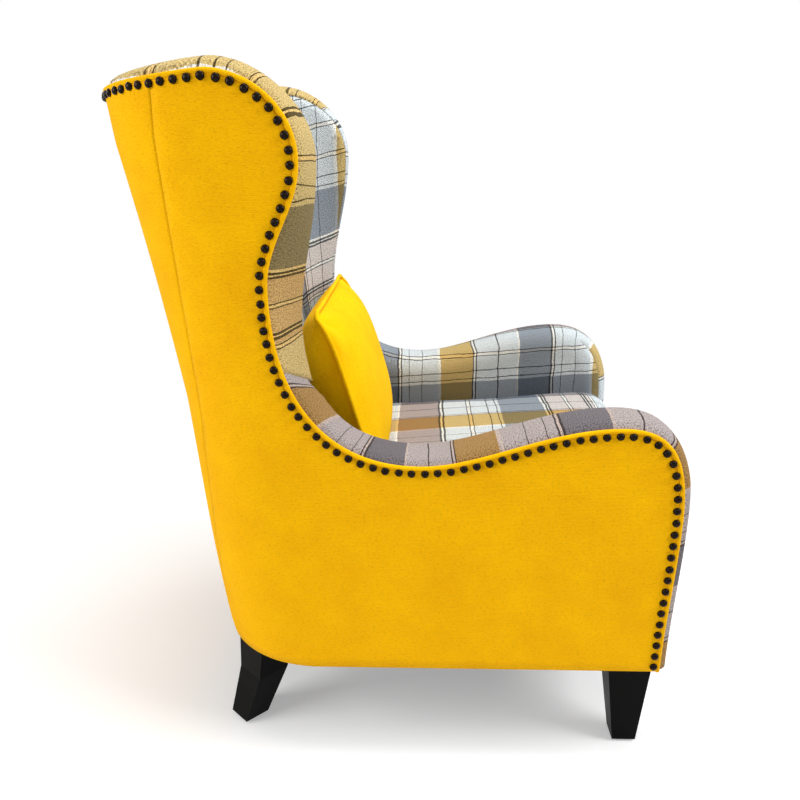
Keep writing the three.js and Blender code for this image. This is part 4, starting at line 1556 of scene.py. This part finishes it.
        # Near the edge the face takes its share of the roll
        gaps = np.linalg.norm(points[:, None, :] - at.inner[None, first:last, :], axis=2)
        stations = first + np.argmin(gaps, axis=1)
        fade = clamped(1 - from_edge / (self.fade_rounds * self.arm_round)) ** 2
        lift = self.heights(part, at)[stations] * self.fullness_of(part) * fade
        _, _, into = at.directions(wall)
        reach = np.maximum(np.sum((points - at.inner[stations]) * into[stations], axis=1), 0.0)
        curved = self.turned(at, stations, 0.0 * reach, reach, lift, self.round_of(part))
        sideways = points - at.inner[stations] - reach[:, None] * into[stations]
        near = (reach < self.round_of(part)) & (from_edge < self.round_of(part))
        points = np.where(near[:, None], curved + sideways, points + lift[:, None] * inward)
        return points - inward * dip[:, None], faces, flat

    def face_cloth(self, part: Part, side: Side, flat: Array) -> Array:
        """Args:
            part: The part of the wall.
            side: The side of the chair.
            flat: The face's places in the flat.

        Returns:
            The places on the cloth.
        """
        z = flat[:, 1]
        x = flat[:, 0] + self.wall.inner(z)[0]
        if part is Part.BACK:
            from_middle = flat[:, 0] - self.wall.middle_of(self.wall.inner, z)
            return self.back_lay.places(from_middle * side.value, z)
        if part is Part.WING:
            # From the middle of the first plain stripe up, the check repeats the other way round
            cloth = self.wing_lay.places(x, z)
            check = self.finishes.check
            middle = sum(width for width, _ in check.weft()[:7]) / 2 - check.mean_shift
            cloth[:, 1] = middle + np.abs(cloth[:, 1] - middle)
            return cloth
        cloth = self.arm_lay.places(x, z)
        if side is Side.RIGHT:
            # The right-hand arm's cloth is cut with its stripes the other way round
            cloth = np.array([self.right_arm_along, self.right_arm_down]) + cloth * [-1, 1]
        return cloth

    def joined(self, part: Part, side: Side) -> tuple[Array, Faces, Array]:
        """Joins a part's band and its inside face into one shape.

        Args:
            part: The part of the wall.
            side: The side of the chair.

        Returns:
            The shape's points, its faces and its places on the cloth.
        """
        at = self.stations()
        band, band_cloth = self.band(part, side, at)
        face_points, face_faces, flat = self.face(part, at)
        faces = turned_in(band.reshape(-1, 3), grid_faces(*band.shape[:2]))
        faces += moved_on(turned_in(face_points, face_faces), len(band) * band.shape[1])
        points = np.vstack([band.reshape(-1, 3), face_points])
        cloth = np.vstack([band_cloth.reshape(-1, 2), self.face_cloth(part, side, flat)])
        points, faces, cloth = sewn(points, faces, cloth, self.cloth_step)
        return mirrored(points, side), facing(faces, side), cloth

    def build_part(self, part: Part, sides: Sequence[Side]) -> Piece:
        """Builds one padded arm or wing, or the padded back from both halves.

        Args:
            part: The part of the wall.
            sides: The side that it is on, or both for the back.

        Returns:
            The piece.
        """
        shapes, all_faces, cloths = [], [], []
        for side in sides:
            points, faces, cloth = self.joined(part, side)
            all_faces += moved_on(faces, sum(map(len, shapes)))
            shapes.append(points)
            cloths.append(cloth)
        names = (f"padded_{part.value}", f"{part.value}_pad")
        if part is not Part.BACK:
            names = tuple(f"{name}_{sides[0].word}" for name in names)
        wool = self.finishes.checked_wool
        piece = mesh_piece(names[0], np.vstack(shapes), all_faces, wool, np.vstack(cloths))
        thicken(piece, self.cloth_thickness)
        fit(piece, names[1])
        return piece

    def build(self) -> list[Piece]:
        """Builds arms, wings and back."""
        pieces = [self.build_part(part, [side]) for part in (Part.ARM, Part.WING) for side in Side]
        return [*pieces, self.build_part(Part.BACK, list(Side))]


def swell(piece: Piece, pressure: float, cap: float, slack: float) -> None:
    """Lets a cushion's cover swell as cloth does, and keeps the shape that it takes.

    Args:
        piece: The cushion.
        pressure: The pressure inside it.
        cap: How far a point may move, in millimetres.
        slack: How much larger the cover is cut than the filling, as a share.
    """
    mesh = piece.data
    rest = np.zeros(len(mesh.vertices) * 3)
    mesh.vertices.foreach_get("co", rest)
    cloth = piece.modifiers.new("cover", "CLOTH")
    settings = cloth.settings
    settings.quality = 6
    settings.mass = 0.3
    settings.tension_stiffness = 20
    settings.compression_stiffness = 20
    settings.shear_stiffness = 8
    settings.bending_stiffness = 1.5
    settings.shrink_min = -slack
    settings.use_pressure = True
    settings.uniform_pressure_force = pressure
    settings.effector_weights.gravity = 0
    cloth.point_cache.frame_start = 1
    cloth.point_cache.frame_end = SWELL_FRAMES
    scene = bpy.context.scene
    for frame in range(1, SWELL_FRAMES + 1):
        scene.frame_set(frame)
    shaped = piece.evaluated_get(bpy.context.evaluated_depsgraph_get()).to_mesh()
    moved = np.zeros(len(rest))
    shaped.vertices.foreach_get("co", moved)
    piece.modifiers.remove(cloth)
    scene.frame_set(1)
    step = (moved - rest).reshape(-1, 3)
    far = np.linalg.norm(step, axis=1)
    step *= np.minimum(1.0, cap * MM / np.maximum(far, 1e-9))[:, None]
    mesh.vertices.foreach_set("co", rest + step.ravel())
    mesh.update()


def refine(piece: Piece) -> None:
    """Adds one subdivision."""
    smooth = piece.modifiers.new("smooth", "SUBSURF")
    smooth.levels = smooth.render_levels = 1


def placed(points: Array, turn: float, at: Point) -> Array:
    """Turns points about the Y axis by an angle in degrees, and moves them."""
    matrix = np.array(Matrix.Rotation(math.radians(turn), 3, "Y"))
    return points @ matrix.T + np.array(at)


def rounded_plan(
    box: Array, half: Array, radius: Array | float, power: int
) -> tuple[Array, Array, Array]:
    """Rounds the corners of a cushion's plan.

    Args:
        box: Places on the plan, from -1 to 1 each way.
        half: The plan's half length each way.
        radius: The corners' radius.
        power: How fast the rounding fades toward the middle.

    Returns:
        The places, how far toward the edge each is, and its place if it lay on the edge.
    """
    ring = np.max(np.abs(box), axis=1)
    edge = box / np.maximum(ring, 1e-6)[:, None] * half
    core = np.clip(edge, -(half - radius), half - radius)
    away = edge - core
    far = np.maximum(np.linalg.norm(away, axis=1), 1e-6)[:, None]
    rounded = core + away / far * np.minimum(far, radius)
    return box * half + (rounded - edge) * (ring**power)[:, None], ring, rounded


@dataclass
class SeatCushion:
    """The loose seat cushion: a crowned top, soft sides and a full rounded front."""

    finishes: Finishes
    back_x: float = -116.0
    front_x: float = 440.0
    half_y: float = 243.0
    side_height: float = 139.0
    crown: float = 7.0
    rear_radius: float = 95.0
    front_radius: float = 45.0
    pull: float = 6.0
    front_bulge: float = 8.0
    edge_radius: float = 20.0
    nose_radius: float = 56.0
    nose_start: float = 0.6
    nose_reach: float = 0.35
    slope: float = 4.077
    rest_z: float = 288.3
    step: float = 15.0
    # The cloth lies with its warp across the seat, and its mustard stripe left of the middle
    warp_shift: float = 75.0
    weft_shift: float = -87.0

    def lattice(self) -> tuple[Array, Faces]:
        """Gives the surface of a box lattice, in shares of the cushion, and its faces.

        Returns:
            The points, from -1 to 1 each way, and the faces.
        """
        counts = [
            round((self.front_x - self.back_x) / self.step),
            round(2 * self.half_y / self.step),
            round(self.side_height / self.step),
        ]
        index: dict[tuple[int, ...], int] = {}
        faces = []
        for axis in range(3):
            u, v = (axis + 1) % 3, (axis + 2) % 3
            for end in (0, counts[axis]):
                for i in range(counts[u]):
                    for j in range(counts[v]):
                        corners = []
                        for di, dj in ((0, 0), (1, 0), (1, 1), (0, 1)):
                            key = [0, 0, 0]
                            key[axis], key[u], key[v] = end, i + di, j + dj
                            corners.append(index.setdefault(tuple(key), len(index)))
                        faces.append(tuple(corners if end else reversed(corners)))
        return np.array(list(index)) / np.array(counts) * 2 - 1, faces

    def shape(self, box: Array) -> Array:
        """Rounds the lattice into the cushion.

        Args:
            box: Lattice points from -1 to 1 each way.

        Returns:
            The cushion's points in its own frame.
        """
        half = np.array([(self.front_x - self.back_x) / 2, self.half_y])
        radius = np.where(box[:, 0] > 0, self.front_radius, self.rear_radius)[:, None]
        plan, ring, rounded = rounded_plan(box[:, :2], half, radius, 3)
        u, v = plan[:, 0] / half[0], plan[:, 1] / half[1]
        plan[:, 0] += np.where(u > 0, self.front_bulge, 0.0) * np.abs(u) ** 6 * (1 - v**2)
        plan[:, 1] -= np.sign(v) * self.pull * np.abs(v) ** 6 * (1 - u**2)
        # Where side and top meet, the cover turns over on a radius: a full one at the front
        front = clamped((u - self.nose_start) / self.nose_reach) * clamped(1.25 - np.abs(v), 0.4, 1.0)
        turn = between(self.edge_radius, self.nose_radius, front)
        reach = np.linalg.norm(rounded, axis=1)
        inset = np.minimum((1 - ring) * reach, turn)
        half_z = self.side_height / 2
        drop = np.minimum((1 - np.abs(box[:, 2])) * half_z, turn)
        a, b = turn - inset, turn - drop
        length = np.maximum(np.hypot(a, b), 1e-6)
        both = (a > 0) & (b > 0)
        less = np.where(both, np.minimum(turn / length, 1.0), 1.0)
        plan *= (1 - (a - a * less) / np.maximum(reach, 1e-6))[:, None]
        level = np.abs(box[:, 2]) * half_z
        z = half_z + np.sign(box[:, 2]) * np.where(both, half_z - turn + b * less, level)
        bow = (clamped(1 - u**2) * clamped(1 - v**2)) ** 0.7
        z += self.crown * bow * (box[:, 2] > 0) * clamped(box[:, 2] + 0.2)
        return np.stack([plan[:, 0] + (self.front_x + self.back_x) / 2, plan[:, 1], z], 1)

    def cloth_places(self, box: Array, points: Array) -> Array:
        """Lays the check over the cushion without a break at its edges.

        Args:
            box: Lattice points from -1 to 1 each way.
            points: The same points on the cushion.

        Returns:
            The places on the cloth.
        """
        fall = self.side_height * (1 - box[:, 2]) / 2
        at_end = np.abs(box[:, 0]) >= 1
        at_side = np.abs(box[:, 1]) >= 1
        along = points[:, 0] + np.where(at_end, fall, 0) * np.sign(box[:, 0])
        across = points[:, 1] + np.where(at_side & ~at_end, fall, 0) * np.sign(box[:, 1])
        return np.stack([across + self.warp_shift, along + self.weft_shift], 1)

    def build(self) -> Piece:
        """Builds the cushion on its sloping deck.

        Returns:
            The cushion.
        """
        box, faces = self.lattice()
        points = self.shape(box)
        cloth = self.cloth_places(box, points)
        world = placed(points, -self.slope, (0.0, 0.0, self.rest_z))
        piece = mesh_piece("seat_cushion_cover", world, faces, self.finishes.checked_wool, cloth)
        swell(piece, pressure=3.0, cap=5.0, slack=0.01)
        refine(piece)
        fit(piece, "seat_cushion", body="seat_cushion")
        return piece


@dataclass
class LumbarCushion:
    """The loose yellow cushion: two sheets sewn round a knife edge with a corded seam."""

    finishes: Finishes
    half_length: float = 220.0
    half_height: float = 156.0
    thickness: float = 145.0
    seam_forward: float = 19.0
    top_seam_back: float = 13.0
    corner_radius: float = 40.0
    pull: float = 7.0
    tilt: float = 16.5
    at: Point = (-98.96, 0.0, 557.576)
    step: float = 11.0
    fullness_power: float = 2.8
    profile_power: float = 0.52
    cord_radius: float = 3.6
    cord_step: float = 6.0
    cord_sides: int = 10

    def sheets(self) -> tuple[Array, Faces, Array, list[int]]:
        """Builds both sheets as one shape.

        Returns:
            The points in the cushion's own frame, the faces, the cloth places, and the points of the
            seam in order.
        """
        columns = round(2 * self.half_length / self.step) + 1
        rows = round(2 * self.half_height / self.step) + 1
        v, u = np.meshgrid(np.linspace(-1, 1, columns), np.linspace(-1, 1, rows))
        u, v = u.ravel(), v.ravel()
        half = np.array([self.half_height, self.half_length])
        plan, ring, _ = rounded_plan(np.stack([u, v], 1), half, self.corner_radius, 4)
        pull_u = np.abs(u) ** 6 * (1 - v**2)
        pull_v = np.abs(v) ** 6 * (1 - u**2)
        plan -= self.pull * np.stack([np.sign(u) * pull_u, np.sign(v) * pull_v], 1)
        power = self.fullness_power
        full = ((1 - np.abs(u) ** power) * (1 - np.abs(v) ** power)) ** self.profile_power
        half_thick = self.thickness / 2
        # Toward the top the seam runs back
        seam = self.seam_forward - self.top_seam_back * clamped((u - 0.5) / 0.5) ** 2
        fore = -seam - (half_thick - seam) * full
        aft = -seam + (half_thick + seam) * full
        on_rim = ring >= 1 - 1e-9
        front = np.stack([plan[:, 0], plan[:, 1], fore], 1)
        keep = np.flatnonzero(~on_rim)
        back = np.stack([plan[keep, 0], plan[keep, 1], aft[keep]], 1)
        index_of = {int(k): len(front) + i for i, k in enumerate(keep)}
        faces = []
        for face in grid_faces(rows, columns):
            faces.append(tuple(reversed(face)))
            faces.append(tuple(index_of.get(int(k), int(k)) for k in face))
        cloth = np.vstack([plan[:, ::-1], plan[keep, ::-1] + 37.0])
        ring_points = list(range(columns))
        ring_points += [r * columns + columns - 1 for r in range(1, rows)]
        ring_points += [(rows - 1) * columns + c for c in range(columns - 2, -1, -1)]
        ring_points += [r * columns for r in range(rows - 2, 0, -1)]
        return np.vstack([front, back]), faces, cloth, ring_points

    def build(self) -> list[Piece]:
        """Builds the cushion, and the cord along its seam.

        Returns:
            The cushion and the cord.
        """
        points, faces, cloth, seam = self.sheets()
        world = placed(points, -90 - self.tilt, self.at)
        # The cushion and its cord wear the yellow wool painted lighter, as painted light
        piece = mesh_piece("lumbar_cushion_cover", world, faces, self.finishes.cushion_wool, cloth)
        swell(piece, pressure=3.5, cap=8.0, slack=0.015)
        rim = np.array([piece.data.vertices[i].co for i in seam]) / MM
        refine(piece)
        fit(piece, "lumbar_cushion", body="lumbar_cushion")
        return [piece, self.corded_seam(rim)]

    def corded_seam(self, rim: Array) -> Piece:
        """Runs a covered cord along the seam.

        Args:
            rim: The seam's points in order.

        Returns:
            The cord as a closed ring.
        """
        even = resampled(ringed(rim), self.cord_step)[:-1]
        soft = (np.roll(even, 1, 0) + even * 2 + np.roll(even, -1, 0)) / 4
        outs = soft - soft.mean(0)
        points, faces, cloth = tube(soft, outs, self.cord_radius, self.cord_sides, is_ring=True)
        piece = mesh_piece("lumbar_seam_cord", points, faces, self.finishes.cushion_wool, cloth)
        fit(piece, body="lumbar_cushion")
        return piece


@dataclass
class SeatFront:
    """The checked border below the seat cushion, the deck that it lies on, and the dust cover."""

    wall: Wall
    finishes: Finishes
    border_front_x: float = 424.0
    border_rear_x: float = 393.3
    border_round: float = 10.0
    border_bow: float = 3.0
    border_thickness: float = 2.0
    deck_front_z: float = 316.0
    deck_fall: float = 36.0
    deck_back_x: float = -112.0
    rail_bottom_z: float = 169.5
    half_y: float = 249.0
    deck_sag: float = 6.0
    deck_allowance: float = 1.01
    deck_thickness: float = 1.6
    cover_inset: float = 9.0
    cover_sag: float = 3.0
    cover_step: float = 22.0
    cover_thickness: float = 1.2
    rails: tuple[str, str] = ("front_seat_rail", "back_seat_rail")

    def build_border(self) -> Piece:
        """Builds the upright padded border across the front.

        Returns:
            The border.
        """
        base, top, front = self.wall.base_z, self.deck_front_z, self.border_front_x
        columns = 60
        ys = np.linspace(-self.half_y, self.half_y, columns)
        profile = [(self.border_rear_x, base)]
        profile += [(front, z) for z in np.linspace(base, top - self.border_round, 16)]
        for turn in np.linspace(0, math.pi / 2, 7)[1:]:
            x = front - self.border_round * (1 - math.cos(turn))
            profile.append((x, top - self.border_round * (1 - math.sin(turn))))
        profile.append((self.border_rear_x, top))
        rows, cloth = [], []
        for (x, z), far in zip(profile, run_lengths(np.array(profile))):
            share = clamped((z - base) / (top - base))
            bow = self.border_bow * math.sin(math.pi * share) if x > self.border_rear_x else 0.0
            ahead = x + bow * (1 - (ys / self.half_y) ** 6)
            rows.append(np.stack([ahead, ys, np.full(columns, z)], 1))
            cloth.append(np.stack([ys, np.full(columns, far)], 1))
        faces = grid_faces(len(profile), columns)
        wool = self.finishes.checked_wool
        piece = mesh_piece("front_border_cover", np.vstack(rows), faces, wool, np.vstack(cloth))
        thicken(piece, self.border_thickness)
        fit(piece, "front_border")
        return piece

    def build_deck(self) -> Piece:
        """Builds the lining cloth stretched over the seat's springs.

        Returns:
            The deck cloth.
        """
        shares = np.linspace(0, 1, 40)
        rows, cloth = [], []
        columns = 36
        for share in shares:
            x = between(self.deck_back_x, self.border_rear_x - 0.5, share)
            z = self.deck_front_z - self.deck_fall * (1 - share)
            start, radius, half = self.wall.inner(z)
            ahead = max(0.0, float(start) - x)
            reach = half if ahead <= 0 else half - radius + math.sqrt(max(radius**2 - ahead**2, 0.0))
            ys = np.linspace(-float(reach) + 0.5, float(reach) - 0.5, columns)
            sag = self.deck_sag * math.sin(math.pi * share) * (1 - (ys / half) ** 2)
            rows.append(np.stack([np.full(columns, x), ys, z - sag], 1))
            cloth.append(np.stack([ys, np.full(columns, x)], 1))
        faces = flipped(grid_faces(len(shares), columns))
        lining = self.finishes.lining
        piece = mesh_piece("seat_deck_cloth", np.vstack(rows), faces, lining, np.vstack(cloth))
        # The deck sags, so it is cut a little longer than its frame
        return stretch(piece, self.deck_thickness, "seat_deck")

    def build_dust_cover(self) -> Piece:
        """Builds the black cloth tacked under the frame.

        Returns:
            The dust cover.
        """
        wall, inset = self.wall, self.cover_inset
        z = wall.base_z
        start_x, radius, _ = wall.outer(z)
        ahead = self.border_rear_x - float(start_x)
        along = np.linspace(ahead, float(wall.middle_of(wall.outer, z)), 60)
        right = wall.place(wall.outer, along, np.full(60, z), inset)
        right[along >= 0, 1] = inset - wall.half_width
        right[along < -float(radius) * math.pi / 2, 0] += inset
        outline = both_halves(right[:, :2])
        flat, faces = filled_outline(outline, self.cover_step)
        sag = self.cover_sag * clamped(distance_to_line(flat, ringed(outline)) / 60)
        points = np.column_stack([flat, np.full(len(flat), self.rail_bottom_z - 0.5) - sag])
        clear = self.legs_clear(flat)
        keep = [f for f in faces if all(clear[v] for v in f)]
        piece = mesh_piece("dust_cover_cloth", points, keep, self.finishes.lining, flat)
        return stretch(piece, self.cover_thickness, "dust_cover")

    def legs_clear(self, flat: Array) -> Array:
        """Says which points lie clear of the four leg tops.

        Args:
            flat: The points in plan.

        Returns:
            Whether each is clear.
        """
        clear = np.ones(len(flat), bool)
        for name in ("front_leg_right", "front_leg_left", "rear_leg_right", "rear_leg_left"):
            low, high = (np.array(corner)[:2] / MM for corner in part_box(name))
            clear &= ~np.all((flat > low - 2) & (flat < high + 2), axis=1)
        return clear

    def build(self) -> list[Piece]:
        """Builds border, deck and dust cover."""
        return [self.build_border(), self.build_deck(), self.build_dust_cover()]


@dataclass
class BackWebbing:
    """Three woven jute straps across the back posts, under the back's padding."""

    finishes: Finishes
    count: int = 3
    columns: int = 40
    rows: int = 9
    bow: float = 5.0
    allowance: float = 1.002
    thickness: float = 2.0

    def strap(self, number: int) -> Piece:
        """Builds one strap from the place of its node.

        Args:
            number: The strap's number.

        Returns:
            The strap.
        """
        node = f"back_webbing_{number}"
        low, high = (np.array(corner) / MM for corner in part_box(node))
        ys = np.linspace(low[1], high[1], self.columns)
        bow = self.bow * (1 - (2 * (ys - low[1]) / (high[1] - low[1]) - 1) ** 2)
        rows, cloth = [], []
        for share in np.linspace(0, 1, self.rows):
            level = np.full(self.columns, between(low[2], high[2], share))
            rows.append(np.stack([between(high[0], low[0] + self.thickness, share) - bow, ys, level], 1))
            cloth.append(np.stack([ys, level], 1))
        faces = flipped(grid_faces(self.rows, self.columns))
        jute = self.finishes.webbing
        piece = mesh_piece(f"woven_strap_{number}", np.vstack(rows), faces, jute, np.vstack(cloth))
        # The strap bows, so it is a little longer than its node
        return stretch(piece, self.thickness, node)

    def build(self) -> list[Piece]:
        """Builds the straps."""
        return [self.strap(number) for number in range(1, self.count + 1)]


@dataclass
class FrameAndLegs:
    """The rigid pieces that keep their solids: timbers, springs, bolts, glides and legs."""

    nodes: dict[str, Piece]
    finishes: Finishes
    leg_edge: float = 1.6
    timber_edge: float = 1.5

    def build(self) -> None:
        """Gives every rigid node its finish, and softens the edges of the timbers and legs."""
        look = self.finishes
        for words, material, edge in (
            (("rail", "block", "post", "wing_board"), look.beech, self.timber_edge),
            (("leg_right", "leg_left"), look.dark_wood, self.leg_edge),
            (("spring", "glide", "bolt"), look.steel, 0.0),
        ):
            for node in (self.nodes[name] for name in self.nodes if any(word in name for word in words)):
                node.data.materials.clear()
                node.data.materials.append(material)
                if edge:
                    bevel = node.modifiers.new("soft_edges", "BEVEL")
                    bevel.width = edge * MM
                    bevel.segments = 3
                    bevel.limit_method = "ANGLE"
                    bevel.angle_limit = math.radians(35)


@dataclass
class Studio:
    """A plain pale floor, a pale backdrop, soft lamps and the camera."""

    camera_at: Point = (0.032, -1.429, 0.957)
    pitch: float = 17.55
    yaw: float = 1.37
    lens: float = 36.0
    floor_colour: str = "#EDEDED"
    floor_lift: float = 0.3
    floor_near: float = 0.7
    floor_far: float = 2.2
    floor_half: float = 9000.0
    room_light: float = 0.3

    def only_seen(self, tree: Tree) -> bpy.types.Node:
        """Adds a node that is 1 for what camera and gloss see, and 0 for what lights the chair."""
        rays = add_node(tree, "LightPath").outputs
        return add_node(
            tree, "Math", {0: rays["Is Camera Ray"], 1: rays["Is Glossy Ray"]}, operation="MAXIMUM"
        )

    def build_camera(self) -> None:
        """Sets the camera at the photograph's angle."""
        camera = bpy.data.cameras.new("camera")
        camera.lens = self.lens
        camera.sensor_width = 36.0
        camera.sensor_fit = "HORIZONTAL"
        camera.clip_end = 50.0
        seen = bpy.data.objects.new("camera", camera)
        pitch, yaw = math.radians(self.pitch), math.radians(self.yaw)
        level = math.cos(pitch)
        ahead = Vector((-math.sin(yaw) * level, math.cos(yaw) * level, -math.sin(pitch)))
        seen.rotation_euler = ahead.to_track_quat("-Z", "Y").to_euler()
        seen.location = self.camera_at
        bpy.context.scene.collection.objects.link(seen)
        bpy.context.scene.camera = seen

    def build_floor(self) -> None:
        """Lays the floor, which keeps the shadow and is white to the camera elsewhere."""
        material, tree = new_material("pale_floor")
        white = linear("#FFFFFF")
        paint = add_node(tree, "BsdfDiffuse", {"Color": linear(self.floor_colour)})
        lift = add_node(tree, "Emission", {"Color": white, "Strength": self.floor_lift})
        lifted = add_node(tree, "AddShader", {0: paint, 1: lift})
        # Away from the chair, where no shadow falls, the floor turns into the white backdrop
        place = add_node(tree, "NewGeometry").outputs["Position"]
        length = add_node(tree, "VectorMath", {0: place}, operation="LENGTH").outputs["Value"]
        limits = {"From Min": self.floor_near, "From Max": self.floor_far}
        away = add_node(tree, "MapRange", {"Value": length, **limits})
        backdrop = add_node(tree, "Emission", {"Color": white, "Strength": 1.0})
        near = add_node(tree, "MixShader", {0: away, 1: lifted, 2: backdrop})
        seen = add_node(tree, "MixShader", {0: self.only_seen(tree), 1: paint, 2: near})
        add_node(tree, "OutputMaterial", {"Surface": seen})
        half = self.floor_half
        corners = np.array([[-half, -half, 0], [half, -half, 0], [half, half, 0], [-half, half, 0]])
        floor = mesh_piece("floor", corners, [(0, 1, 2, 3)], material)

    def build_lamp(self, name: str, at: Point, size: float, power: float) -> None:
        """Hangs one soft lamp that faces the chair.

        Args:
            name: The lamp's name.
            at: Its place in metres.
            size: Its side in metres.
            power: Its power in watts.
        """
        lamp = bpy.data.lights.new(name, "AREA")
        lamp.shape = "SQUARE"
        lamp.size = size
        lamp.energy = power
        hung = bpy.data.objects.new(name, lamp)
        hung.location = at
        aim = Vector((0.0, 0.0, 0.5)) - Vector(at)
        hung.rotation_euler = aim.to_track_quat("-Z", "Y").to_euler()
        bpy.context.scene.collection.objects.link(hung)

    def build_world(self) -> None:
        """Lights the room evenly, and shows it white."""
        world = bpy.data.worlds.new("room")
        world.use_nodes = True
        tree = world.node_tree
        tree.nodes.clear()
        white = linear("#FFFFFF")
        even = add_node(tree, "Background", {"Color": white, "Strength": self.room_light})
        shown = add_node(tree, "Background", {"Color": white, "Strength": 1.0})
        both = add_node(tree, "MixShader", {0: self.only_seen(tree), 1: even, 2: shown})
        add_node(tree, "OutputWorld", {"Surface": both})
        bpy.context.scene.world = world

    def build(self) -> None:
        """Sets up the whole studio."""
        self.build_camera()
        self.build_floor()
        self.build_world()
        self.build_lamp("right_lamp", (2.4, -0.9, 2.4), 1.5, 63.0)
        self.build_lamp("left_lamp", (-2.6, -1.5, 1.7), 1.6, 52.0)
        self.build_lamp("top_lamp", (0.4, 0.1, 3.2), 1.8, 58.0)
        view = bpy.context.scene.view_settings
        view.view_transform = "Standard"


def main() -> None:
    """Builds the chair's pieces in order, and reports each."""
    logging.basicConfig(level=logging.INFO, format="%(message)s")
    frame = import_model()
    finishes = Finishes()
    wall = Wall()
    Studio().build()
    FrameAndLegs(frame["nodes"], finishes).build()
    LOG.info("Dressed the timbers, springs, glides, bolts and legs")
    for pieces in (
        OutsidePanels(wall, finishes).build(),
        [EdgePiping(wall, finishes).build()],
        NailTrim(wall, finishes).build(),
        PaddedWall(wall, finishes).build(),
        SeatFront(wall, finishes).build(),
        BackWebbing(finishes).build(),
        [SeatCushion(finishes).build()],
        LumbarCushion(finishes).build(),
    ):
        for piece in pieces:
            LOG.info("Built %s, %d faces", piece.name, len(piece.data.polygons))


if __name__ == "__main__":
    main()
